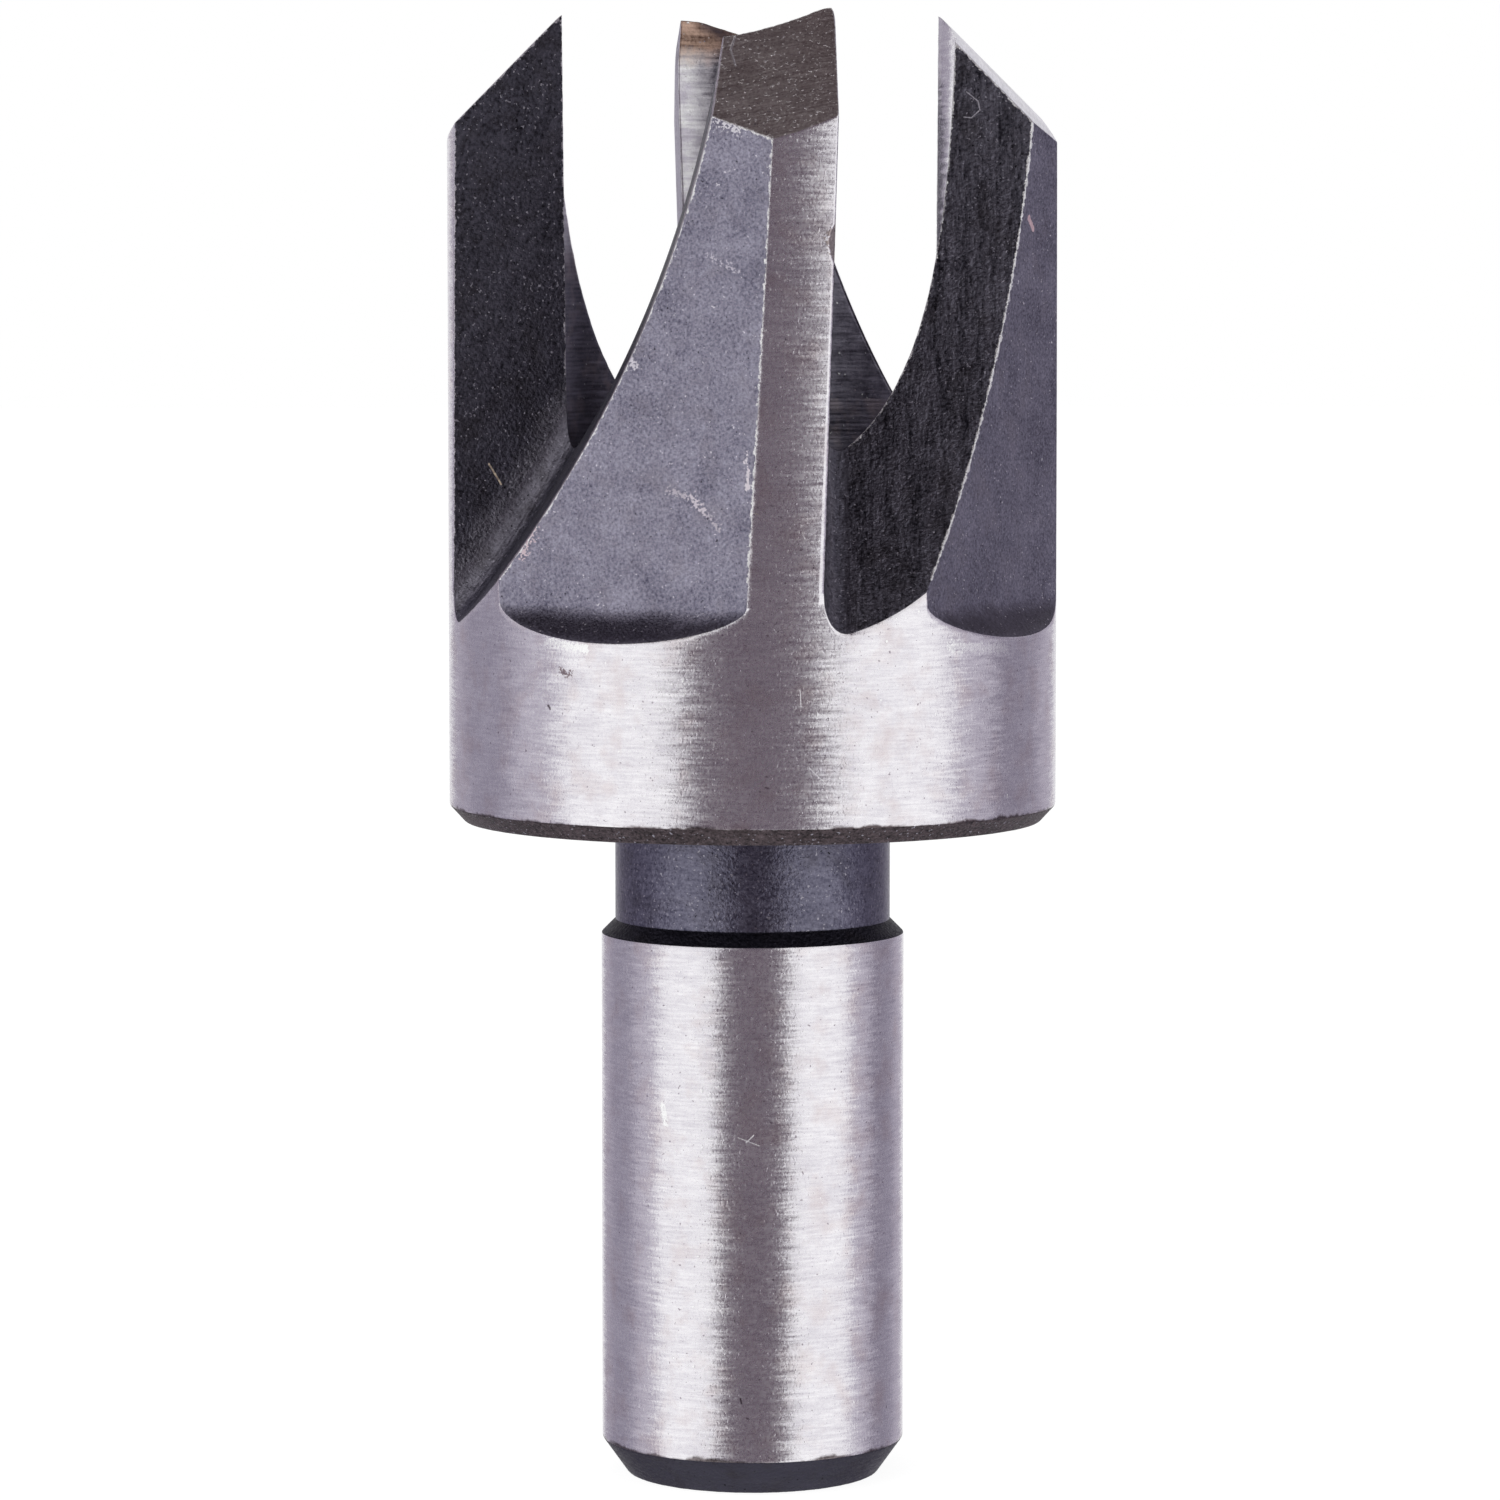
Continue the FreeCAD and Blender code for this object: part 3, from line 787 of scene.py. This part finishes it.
def steelMaterial(look):
    # one finish: clouds, grain and working marks set the tone, then bands, specks, pits, worn edges with
    # their painted highlight, and scars cover it. A colour mix takes its two colours in sockets 6 and 7 and
    # gives its third output.
    material, tree = emptyMaterial(look["name"])
    timesPlus, ofColours = {"operation": "MULTIPLY_ADD"}, {"data_type": "RGBA"}
    place = node(tree, "TexCoord")["Object"]
    uv = node(tree, "UVMap", uv_map="marks")["UV"]
    across, along, _ = node(tree, "SeparateXYZ", {"Vector": uv})
    # patterns: where each is read, how many to the unit there, its layers and how rough they are
    drawnOut = {key: node(tree, "Mapping", {
        "Vector": uv, "Scale": (1 / look[key + "Gap"], 1 / look[key + "Length"], 1)})["Vector"]
        for key in ("mark", "streak")}
    patterns = {
        "mark": (drawnOut["mark"], 1, 3.0, 0.65),
        "streak": (drawnOut["streak"], 1, 3.0, 0.6),
        "grain": (place, 1 / look["grain"] / mm, 2.0, 0.6),
        "cloud": (place, 1 / look["cloud"] / mm, 4.0, 0.6),
        "speck": (place, 1 / look["speck"] / mm, 1.0, 0.5),
        "stain": (place, 1 / look["stainSize"] / mm, 3.0, 0.6),
        "ragged": (place, 1 / look["ragged"] / mm, 4.0, 0.75)}
    noise = {name: node(tree, "TexNoise", {
        "Vector": vector, "Scale": scale, "Detail": layers, "Roughness": rough})
        for name, (vector, scale, layers, rough) in patterns.items()}
    seen = {name: made["Fac"] for name, made in noise.items()}
    # tone: the middle of dark and light, and each pattern's swing about it; height: dents and grain
    swings = {name: look[name + "Tone"] for name in ("mark", "grain", "cloud", "streak")}
    seen["ding"] = node(tree, "MapRange", {
        "Value": seen["speck"], "From Min": look["dingFrom"], "From Max": look["dingFull"]})[0]
    tone, height = 0.5 - sum(swings.values()) / 2, 0.0
    for name, swing in swings.items():
        tone = node(tree, "Math", {0: seen[name], 1: swing, 2: tone}, **timesPlus)[0]
    for name in ("ding", "grain"):
        height = node(tree, "Math", {0: seen[name], 1: look[name + "Depth"], 2: height}, **timesPlus)[0]
    if look["ringTone"]:
        # turned rings: a wave of the way across the marks
        wave = node(tree, "Math", {0: across, 1: 2 * math.pi / look["ringPitch"]}, operation="MULTIPLY")[0]
        wave = node(tree, "Math", {0: wave}, operation="SINE")[0]
        tone = node(tree, "Math", {0: wave, 1: look["ringTone"], 2: tone}, **timesPlus)[0]
        height = node(tree, "Math", {0: wave, 1: look["ringDepth"], 2: height}, **timesPlus)[0]
    tone = node(tree, "Clamp", {"Value": tone})[0]
    tones = {"Factor": tone, 6: linear(look["dark"]), 7: linear(look["light"])}
    colour = node(tree, "Mix", tones, **ofColours)[2]
    # covers, from the lowest up: a value, where it starts and is full, its greatest share, colour and depth
    stain = linear(look["stain"])
    covers = [(seen["stain"], look["stainFrom"], look["stainFull"], look["stainShare"], stain, 0)]
    reach = {"height": node(tree, "SeparateXYZ", {"Vector": place})["Z"], "across": across, "along": along}
    for one in look["bands"]:
        # a band's border is a place along one way, frayed by the clouds
        scale, fray = mm if one["by"] == "height" else 1, look["bandFray"]
        frayed = node(tree, "Math", {0: seen["cloud"], 1: fray * scale, 2: reach[one["by"]]}, **timesPlus)[0]
        tones = {"Factor": tone, 6: linear(one["dark"]), 7: linear(one["light"])}
        tint = node(tree, "Mix", tones, **ofColours)[2]
        start, full = ((one[end] + fray / 2) * scale for end in ("from", "to"))
        covers.append((frayed, start, full, 1, tint, 0))
    for name, width in (("speck", look["speckSoft"]), ("pit", -look["pitSoft"])):
        start = look[name + "From"]
        covers.append((seen["speck"], start, start + width, 1, linear(look[name + "Colour"]), 0))
    # worn edges: bare metal where worn, and a painted highlight along the broken edge, within a ragged width
    # of the edge runs
    uneven = node(tree, "MapRange", {
        "Value": seen["ragged"], "From Min": look["raggedFrom"], "From Max": look["raggedFull"],
        "To Min": look["edgeLow"], "To Max": look["edgeHigh"]})[0]
    gap = node(tree, "Attribute", attribute_name="edgeGap")["Fac"]
    worn = node(tree, "Math", {0: uneven, 1: gap}, operation="SUBTRACT")[0]
    covers.append((worn, 0, look["edgeSoft"], 1, linear(look["edge"]), 0))
    for one in look["scars"]:
        # way from the scar's line, run by run, made uneven by a noise
        for first, last in zip(one["line"], one["line"][1:]):
            run, fray = Vector(last) - Vector(first), one["fray"] * mm
            away = node(tree, "VectorMath", {0: place, 1: Vector(first) * mm}, operation="SUBTRACT")[0]
            per = run / run.length_squared / mm
            share = node(tree, "VectorMath", {0: away, 1: per}, operation="DOT_PRODUCT")["Value"]
            share = node(tree, "Clamp", {"Value": share})[0]
            nearest = node(tree, "VectorMath", {0: run * mm, "Scale": share}, operation="SCALE")[0]
            away = node(tree, "VectorMath", {0: away, 1: nearest}, operation="DISTANCE")["Value"]
            frayed = node(tree, "Math", {0: seen[one["by"]], 1: -fray, 2: away}, **timesPlus)[0]
            edge = one["wide"] * mm - fray / 2
            covers.append((frayed, edge, edge - one["soft"] * mm, 1, linear(one["colour"]), one["deep"]))
    for value, start, full, most, tint, deep in covers:
        share = node(tree, "MapRange", {
            "Value": value, "From Min": start, "From Max": full, "To Max": most})[0]
        colour = node(tree, "Mix", {"Factor": share, 6: colour, 7: tint}, **ofColours)[2]
        if deep:
            height = node(tree, "Math", {0: share, 1: -deep, 2: height}, **timesPlus)[0]
    rough = node(tree, "MapRange", {
        "Value": seen["grain"], "From Min": look["grainLow"], "From Max": look["grainHigh"],
        "To Min": look["smooth"], "To Max": look["rough"]})[0]
    # the marks lean the normal across and along them, about a normal map's level colour
    tilt = (look["markTilt"], look["markSwing"], 0)
    level = (0.5 - tilt[0] / 2, 0.5 - tilt[1] / 2, 1)
    marked = node(tree, "VectorMath", {0: noise["mark"]["Color"], 1: tilt, 2: level}, **timesPlus)[0]
    normal = node(tree, "NormalMap", {"Color": marked}, uv_map="marks")["Normal"]
    normal = node(tree, "Bump", {
        "Height": height, "Distance": mm, "Strength": 1.0, "Normal": normal})["Normal"]
    tangent = node(tree, "Tangent", direction_type="UV_MAP", uv_map="marks")["Tangent"]
    shader = node(tree, "BsdfPrincipled", {
        "Base Color": colour, "Metallic": look["metallic"], "Roughness": rough,
        "Anisotropic": look["oneWay"], "Normal": normal, "Tangent": tangent})["BSDF"]
    node(tree, "OutputMaterial", {"Surface": shader})
    return material


def band(by, start, full, dark, light):
    # other tones past a place in height, or across or along the marks: where they start and are full, in mm
    return {"by": by, "from": start, "to": full, "dark": dark, "light": light}


def scar(colour, wide, fray, *line, by="grain", deep=0, soft=0.02):
    # mark along a line of points: how wide, how far the noise called by frays it, how deep and soft, in mm
    return {"colour": colour, "wide": wide, "fray": fray, "line": line, "by": by, "deep": deep, "soft": soft}


# Tool steel, ground round and round with a fine wheel: bright metal that shows the studio in upright bands,
# frayed by the wheel's marks. The real ones are about 0.02 mm apart, too fine to show, and are drawn 0.1 mm
# apart, with the grain 0.11 mm wide.
groundSteel = {
    "name": "toolSteelGround", "metallic": 1.0, "oneWay": 0.5, "smooth": 0.23, "rough": 0.33,
    "dark": "#d9d5dd", "light": "#fefcff", "bands": [], "scars": [],
    "grain": 0.11, "grainTone": 1.0, "grainDepth": 0.006, "grainLow": 0.3, "grainHigh": 0.7,
    "cloud": 1.6, "cloudTone": 1.0, "bandFray": 0.8,
    "markGap": 0.1, "markLength": 1.2, "markTone": 1.6, "markTilt": 0.2, "markSwing": 0.13,
    "streakGap": 0.5, "streakLength": 5.0, "streakTone": 0.6,
    "ringTone": 0, "ringPitch": 1, "ringDepth": 0,
    "stain": "#d3c2c2", "stainSize": 1.3, "stainShare": 0.5, "stainFrom": 0.5, "stainFull": 0.75,
    "speck": 0.14, "speckFrom": 0.74, "speckSoft": 0.05, "speckColour": "#ffffff",
    "pitFrom": 0.27, "pitSoft": 0.04, "pitColour": "#a39aa3",
    "dingFrom": 0.64, "dingFull": 0.72, "dingDepth": 0.003,
    "edge": "#fbf9fc", "edgeLow": 0.0, "edgeHigh": 0.04, "edgeSoft": 0.03,
    "ragged": 0.3, "raggedFrom": 0.42, "raggedFull": 0.64,
}
# Tool steel, left rough by a coarse slot wheel and blackened: near black and dull, and its grain glints. That
# grain, about 0.05 mm wide, is too fine to show, so it is drawn 0.13 mm wide and the marks 0.14 mm apart.
blackSteel = {
    **groundSteel, "name": "toolSteelBlackened", "oneWay": 0.0, "smooth": 0.45, "rough": 0.6,
    "dark": "#201f26", "light": "#6d6b78", "edge": "#c9c5cd", "stain": "#332d2b", "stainShare": 0.4,
    "grain": 0.13, "grainTone": 1.6, "grainDepth": 0.08, "cloudTone": 0.3,
    "markGap": 0.14, "markLength": 0.5, "markTone": 1.2, "markTilt": 0.4, "markSwing": 0.2,
    "streakTone": 0.5, "streakLength": 3.0,
    "speck": 0.12, "speckFrom": 0.68, "speckColour": "#a8a5b0", "pitFrom": 0.28, "pitColour": "#17161b",
    "edgeHigh": 0.16, "dingDepth": 0,
}
# Tool steel, turned and blackened: the same dull black, with no worn edges. Its feed marks, too fine to show,
# are drawn as coarse as the slot wheel's.
turnedSteel = {**blackSteel, "name": "toolSteelTurned", "edgeHigh": 0.0}
# Tool steel, blasted with grit: an even mid grey, matt, salted with bright facets. About 0.05 mm wide, they
# are too fine to show and are drawn 0.11 mm wide. The hollow foot, which faces up at the dark roof, is
# darkened by painted shade, and knocks left bright spots.
blastedSteel = {
    **groundSteel, "name": "toolSteelBlasted", "oneWay": 0.0, "smooth": 0.46, "rough": 0.6,
    "dark": "#5d5b70", "light": "#cac7d8", "edge": "#ffffff", "stain": "#8f8890", "stainShare": 0.3,
    "grainTone": 1.7, "grainDepth": 0.045, "cloudTone": 0.8,
    "markTone": 0.0, "markTilt": 0.0, "markSwing": 0.0, "streakTone": 0.0,
    "speck": 0.12, "speckFrom": 0.72, "speckColour": "#efecf3", "pitColour": "#45434f",
    "edgeLow": 0.02, "edgeHigh": 0.18, "dingDepth": 0,
    # painted shade: this band darkens the flat's hollow foot, from 34.95 mm down
    "bands": [band("height", 34.95, 34.4, "#3d3a45", "#807c8a")],
    "scars": [
        scar("#d5cfd8", 0.06, 1.1, (-3.75, -10.15, 39.5), (-2.87, -10.67, 39.1), (-1.93, -11.27, 38.1)),
        scar("#e9e2ea", 0.1, 1.3, (-2.95, -10.62, 39.15), (-2.5, -10.9, 38.75)),
        scar("#ebe7ef", 0.08, 1.2, (-5.5, -8.93, 44.9), (-5.0, -9.24, 44.1)),
        scar("#e8d8de", 0.12, 1.3, (-9.2, -6.9, 36.9), (-8.8, -7.15, 38.0)),
        scar("#f2ecf2", 0.04, 0.8, (-0.92, -11.8, 41.0), (-0.86, -11.85, 39.6), by="ragged"),
        scar("#f3f0f6", 0.08, 1.25, (-1.95, -10.78, 53.3), (-1.2, -11.25, 52.95)),
        scar("#dedae4", 0.0, 1.2, (-2.3, -10.72, 48.3), (-1.1, -11.45, 47.6)),
        scar("#f0d5d9", 0.13, 0.2, (10.65, -2.64, 49.8), (10.84, -2.38, 49.38), by="ragged"),
    ],
}
looks = {
    # the head's side: the turned strip at its foot stayed brown, and it has scratches, rubs and dark spots
    "ground": {
        **groundSteel, "bands": [band("height", 26.85, 26.75, "#3f383b", "#8d8083")], "scars": [
            scar("#ffffff", 0.02, 0.01, (1.08, -11.95, 32.03), (1.12, -11.95, 31.39), deep=0.02),
            scar("#ffffff", 0.02, 0.01, (1.43, -11.91, 29.09), (2.11, -11.81, 28.43), deep=0.02),
            scar("#ffffff", 0.05, 0.0, (9.37, -7.5, 27.62), (9.37, -7.5, 27.58), deep=0.02),
            scar("#ffffff", 0.15, 0.6, (-8.3, -8.67, 33.7), (-6.9, -9.82, 33.45)),
            scar("#ffffff", 0.2, 0.8, (7.0, -9.75, 33.5), (9.3, -7.58, 33.3)),
            scar("#8d8085", 0.12, 0.9, (-7.8, -9.12, 32.6), (-7.5, -9.37, 32.5)),
            scar("#6f676d", 0.05, 0.2, (-8.3, -8.67, 31.25), (-8.24, -8.72, 31.13)),
            scar("#b3a7a6", 0.14, 1.0, (2.2, -11.8, 49.1), (2.35, -11.78, 48.5)),
            scar("#fdfbe9", 0.03, 0.0, (-0.62, -11.98, 38.66), (-0.5, -11.99, 38.64)),
        ]},
    # the shank: ground the same way, with a dark line over its bevel, a crossed scratch, a spot and a rub
    "shank": {
        **groundSteel, "name": "toolSteelGroundShank",
        "bands": [band("height", 1.5, 1.4, "#4d4648", "#a39a9d")], "scars": [
            scar("#ffffff", 0.02, 0.01, (-0.91, -5.93, 14.19), (-0.1, -6.0, 13.88), deep=0.02),
            scar("#ffffff", 0.02, 0.01, (-0.6, -5.97, 14.0), (-0.3, -6.0, 14.3), deep=0.02),
            scar("#6b6068", 0.04, 0.05, (-0.83, -5.94, 3.95), (-0.78, -5.95, 3.75)),
            scar("#ffffff", 0.12, 0.4, (-3.8, -4.64, 15.3), (-3.7, -4.72, 14.6)),
        ]},
    # cutting face: black, paler where the wheel's corner ran out, with a straw-coloured fibre and a rub
    "face": {
        **blackSteel, "name": "toolSteelBlackenedFace",
        "bands": [band("across", -0.8, 0.5, "#413f49", "#c5c2cd")], "scars": [
            scar("#ebdcc6", 0.045, 0.05, (-10.43, -2.14, 40.24), (-9.96, -2.12, 39.45), by="ragged"),
            scar("#a89da0", 0.4, 0.3, (2.55, -11.75, 49.3), (2.55, -11.75, 48.3)),
        ]},
    # back of the claw: black, with long streaks of the wheel's rim, a white worn edge that is partly a
    # painted highlight, and a curled hair
    "back": {
        **blackSteel, "name": "toolSteelBlackenedBack", "dark": "#2b2a32", "light": "#85838f",
        "markLength": 0.8, "streakTone": 1.4, "streakLength": 4.0, "edge": "#ffffff", "edgeLow": 0.03,
        "edgeHigh": 0.14, "scars": [
            scar("#d5d2dc", 0.035, 0.02, (8.27, -1.92, 54.71), (8.7, -1.99, 54.36), (8.77, -2.07, 54.01),
                 (8.45, -2.13, 53.7), (8.14, -2.13, 53.73), by="ragged", deep=0.03)]},
    # rounded corner of the slot: black, a little smoother, and paler up to where the rim starts
    "slot": {
        **blackSteel, "name": "toolSteelBlackenedSlot", "dark": "#34323b", "light": "#a29fab",
        "grainTone": 1.0, "grainDepth": 0.04, "bands": [band("across", 1.0, 1.2, "#3f3d47", "#7b7985")]},
    "flat": blastedSteel,
    # tip bevel: ground across with a finer wheel, brighter and browner, with small dents and a hair
    "bevel": {
        **groundSteel, "name": "toolSteelGroundTip", "dark": "#b7adac", "light": "#fffbf8", "smooth": 0.28,
        "rough": 0.4, "cloudTone": 0.8, "markLength": 1.6, "markTone": 1.9, "markTilt": 0.3,
        "markSwing": 0.1, "grainTone": 1.6, "speck": 0.12, "speckFrom": 0.69, "edgeHigh": 0.1,
        "stain": "#c2bbba", "dingDepth": 0.018, "scars": [
            scar("#ffffff", 0.045, 0.02, (-1.14, -7.99, 56.57), (-1.33, -8.41, 56.06), (-1.18, -9.05, 55.44),
                 by="ragged", deep=0.05)]},
    # bore: turned with a fine feed, ringed, dull and dark inside and bright near the tips. Its rings, about
    # 0.05 mm apart, are too fine to show and are drawn 0.17 mm apart.
    "bore": {
        **groundSteel, "name": "toolSteelBored", "dark": "#625f6b", "light": "#95929f", "smooth": 0.35,
        "rough": 0.5, "ringTone": 0.15, "ringPitch": 0.17, "ringDepth": 0.002, "markLength": 2.0,
        "markGap": 0.2, "markTone": 1.8, "cloudTone": 1.2,
        "bands": [band("height", 48.0, 49.6, "#d2cdd8", "#ffffff")]},
    "boreFloor": blackSteel,
    # the turned rest: black and even, but the neck is a smooth blue grey and the head's bevel a blotchy brown
    "end": {**turnedSteel, "name": "toolSteelTurnedEnd"},
    # the end bevel: blackened steel, painted darker than the rest as the shade of the floor close under it,
    # which its gloss doesn't see
    "endBevel": {
        **turnedSteel, "name": "toolSteelTurnedBevel", "dark": "#32313b", "light": "#4f4d5b",
        "grainTone": 0.6, "grainDepth": 0.03, "speckFrom": 0.85},
    "headBevel": {
        **turnedSteel, "name": "toolSteelTurnedBrown", "dark": "#211c1f", "light": "#716569",
        "grainTone": 2.0},
    "neck": {
        **turnedSteel, "name": "toolSteelTurnedNeck", "dark": "#464557", "light": "#8d8b9d", "grainTone": 1.4,
        "grainDepth": 0.03, "markTilt": 0.2, "markSwing": 0.08, "smooth": 0.27, "rough": 0.39},
    "shoulder": {
        **turnedSteel, "name": "toolSteelTurnedShoulder", "dark": "#26252d", "light": "#4a4853",
        "speckFrom": 0.85},
    "under": {**turnedSteel, "name": "toolSteelTurnedUnder"},
}
looks["boreLow"] = looks["bore"]
# the bored wall browned and blued by heat at the tip, clouded and streaked below
looks["boreHot"] = {
    **looks["bore"], "name": "toolSteelBoredHot", "cloud": 0.6, "cloudTone": 2.4, "ringTone": 0.07,
    "ringDepth": 0.001, "streakTone": 1.5, "streakGap": 0.7, "bands": looks["bore"]["bands"] + [
        band("along", -27.3, -26.2, "#4b4852", "#d5d1da"), band("height", 50.5, 49.0, "#625f6b", "#95929f"),
        band("height", 56.0, 56.9, "#5a443a", "#cfb09e")],
    "scars": [scar("#4c4b59", 0.34, 0.6, (-1.5, 7.85, 57.75), (-0.2, 8.0, 57.05), by="ragged", soft=0.5)]}
# the bored wall rubbed smooth beside the right claw's back
looks["boreSide"] = {
    **looks["bore"], "name": "toolSteelBoredRubbed", "ringTone": 0, "smooth": 0.16, "rough": 0.28,
    "edge": "#ffffff", "edgeLow": 0.45, "edgeHigh": 0.75}
# the left slot's round corner, whose far side was rubbed paler
looks["slotLedge"] = {
    **looks["slot"], "name": "toolSteelBlackenedLedge",
    "bands": [band("across", 0.85, 1.05, "#5b5966", "#a09dab")]}
# the front claw's back, rubbed along its outer edge
looks["backRubbed"] = {
    **looks["back"], "name": "toolSteelBlackenedBackRubbed", "edge": "#c4bbc3", "edgeLow": 0.3,
    "edgeHigh": 1.3}
# the back claw's cutting face, ground clean again
looks["facePale"] = {
    **looks["face"], "name": "toolSteelFaceGround", "dark": "#a9a6b3", "light": "#f2f0f8", "bands": [],
    "scars": []}
# the right claw's flat and bevel, a little darker and a little colder; the flat's darker tone is painted
# shade, for the side turned from the larger left soft box
looks["flatSide"] = {**blastedSteel, "name": "toolSteelBlastedSide", "dark": "#4b495a", "light": "#aaa7b8"}
looks["bevelSide"] = {
    **looks["bevel"], "name": "toolSteelGroundTipSide", "dark": "#b9b7c4", "light": "#f5f3fa"}

patches = buildPatches()
print("surfaces", len(patches))
piece, names = joined("plugCutter", patches)
lookOf = {look["name"]: look for look in looks.values()}
for name in names:
    piece.data.materials.append(steelMaterial(lookOf[name]))
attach(piece, "root")
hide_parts("plug_cutter")
made = piece.data
print("cutter", len(made.vertices), "points", len(made.polygons), "faces", len(names), "materials")

# Camera: almost level with the head, a little above the middle, with a long lens.
camera = {
    "distance": 230.44,   # from the cutter's axis
    "height": 47.24,
    "turn": 3.36,         # to the left of the front
    "pitch": 4.57,        # downwards
    "lens": 139.94,
    "sensor": 36.0,
    "imageSide": 1500,
    "shiftRight": 2.57,   # pixels that the picture moves to the right
    "sees": (10, 20000),  # the nearest and the farthest
}
aside, pitch = math.radians(camera["turn"]), math.radians(camera["pitch"])
cameraData = bpy.data.cameras.new("camera")
cameraData.sensor_width = camera["sensor"]
cameraData.lens = camera["lens"]
cameraData.shift_x = -camera["shiftRight"] / camera["imageSide"]
cameraData.clip_start, cameraData.clip_end = (limit * mm for limit in camera["sees"])
cameraObject = bpy.data.objects.new("camera", cameraData)
cameraObject.location = around(camera["distance"], aside, camera["height"]) * mm
cameraObject.rotation_euler = (math.pi / 2 - pitch, 0, -aside)
bpy.context.scene.collection.objects.link(cameraObject)
bpy.context.scene.camera = cameraObject
print("camera", tuple(round(value, 4) for value in cameraObject.location))

# Studio: white surroundings, a white floor, two soft boxes, and cards that only the metal's gloss sees.
studio = {
    "worldLight": 0.42,
    "floorSide": 4000.0,
    "floorColour": "#f4f4f4",
    "floorSeen": "#8c8c8c",   # paper under the glow that the camera sees
    "floorGlow": 0.9,
    "cards": [   # from and to, degrees round from the camera to its right, and colour
        (-26, 27, "#6b616a"), (80, 101, "#bdb8c3"), (101, 120, "#8a8492"), (120, 136, "#938e9c"),
        (136, 158, "#b4aeba"), (-101, -78, "#bcb7c2"), (-136, -101, "#96919f"), (-158, -136, "#aaa4b0")],
    "cardReach": 420.0,
    "cardLow": -500.0,
    "cardHigh": 700.0,
    "roofColour": "#574e51",
    "roofHeight": 420.0,
    "roofSide": 760.0,
    "boxes": [   # degrees round from the camera to its right, width and height
        (-58, 760, 1100), (60, 360, 900)],
    "boxGlow": 1.05,
    "boxReach": 480.0,
    "boxHeight": 120.0,
    "boxAim": 30.0,   # height that they point at
}
world = bpy.data.worlds.new("studio")
bpy.context.scene.world = world
world.use_nodes = True
tree = world.node_tree
tree.nodes.clear()
path = node(tree, "LightPath")
seen = node(tree, "Math", {0: path["Is Camera Ray"], 1: path["Is Glossy Ray"]}, operation="ADD")[0]
seen = node(tree, "Math", {0: seen, 1: path["Is Transmission Ray"]}, operation="ADD", use_clamp=True)[0]
level = node(tree, "MapRange", {"Value": seen, "To Min": studio["worldLight"], "To Max": 1.0})[0]
white = node(tree, "Background", {"Color": linear("#ffffff"), "Strength": level})["Background"]
node(tree, "OutputWorld", {"Surface": white})


def flatPlane(name, corners, material):
    # four corners joined by one face
    mesh = bpy.data.meshes.new(name)
    mesh.from_pydata([Vector(corner) * mm for corner in corners], [], [(0, 1, 2, 3)])
    mesh.materials.append(material)
    plane = bpy.data.objects.new(name, mesh)
    bpy.context.scene.collection.objects.link(plane)
    plane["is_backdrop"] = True
    return plane


def besideCutter(degrees, reach, height):
    # point round the cutter, degrees from the camera to its right
    return around(reach, aside - math.radians(degrees), height)


def squareAt(side, height):
    # corners of a level square over the origin: half its side each way
    half = side / 2
    return [(-half, -half, height), (half, -half, height), (half, half, height), (-half, half, height)]


def greyCard(name, corners, colour):
    # card of plain grey that lights nothing and shows only in gloss
    material, tree = emptyMaterial(name)
    glow = node(tree, "Emission", {"Color": linear(colour), "Strength": 1.0})["Emission"]
    node(tree, "OutputMaterial", {"Surface": glow})
    plane = flatPlane(name, corners, material)
    plane.visible_camera = False
    plane.visible_diffuse = False
    plane.visible_shadow = False


low, high = studio["cardLow"], studio["cardHigh"]
for number, (first, last, colour) in enumerate(studio["cards"]):
    ends = [(first, low), (last, low), (last, high), (first, high)]
    corners = [besideCutter(degrees, studio["cardReach"], height) for degrees, height in ends]
    greyCard("greyCard%d" % number, corners, colour)
greyCard("roofCard", squareAt(studio["roofSide"], studio["roofHeight"]), studio["roofColour"])
for number, (middle, wide, tall) in enumerate(studio["boxes"]):
    lamp = bpy.data.lights.new("softBox%d" % number, "AREA")
    lamp.shape = "RECTANGLE"
    lamp.size, lamp.size_y = wide * mm, tall * mm
    lamp.energy = studio["boxGlow"] * math.pi * lamp.size * lamp.size_y
    lampObject = bpy.data.objects.new("softBox%d" % number, lamp)
    lampObject.location = besideCutter(middle, studio["boxReach"], studio["boxHeight"]) * mm
    aim = Vector((0, 0, studio["boxAim"] * mm)) - lampObject.location
    lampObject.rotation_euler = aim.to_track_quat("-Z", "Y").to_euler()
    lampObject.visible_glossy = False
    bpy.context.scene.collection.objects.link(lampObject)

# White floor: paper that bounces light and takes the cutter's shadow, and glows for the camera alone.
paperMaterial, tree = emptyMaterial("whiteFloor")
path = node(tree, "LightPath")
sight = {0: path["Is Camera Ray"], 1: path["Is Transmission Ray"]}
seen = node(tree, "Math", sight, operation="ADD", use_clamp=True)[0]
tones = {"Factor": seen, 6: linear(studio["floorColour"]), 7: linear(studio["floorSeen"])}
paper = node(tree, "BsdfDiffuse", {"Color": node(tree, "Mix", tones, data_type="RGBA")[2]})["BSDF"]
glow = node(tree, "Math", {0: seen, 1: studio["floorGlow"]}, operation="MULTIPLY")[0]
glow = node(tree, "Emission", {"Strength": glow})["Emission"]
node(tree, "OutputMaterial", {"Surface": node(tree, "AddShader", {0: paper, 1: glow})["Shader"]})
floor = flatPlane("floor", squareAt(studio["floorSide"], 0), paperMaterial)
floor.visible_glossy = False
print("studio", len(studio["cards"]) + 1, "cards", len(studio["boxes"]), "soft boxes")

bpy.context.scene.view_settings.view_transform = "Standard"
low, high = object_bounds()
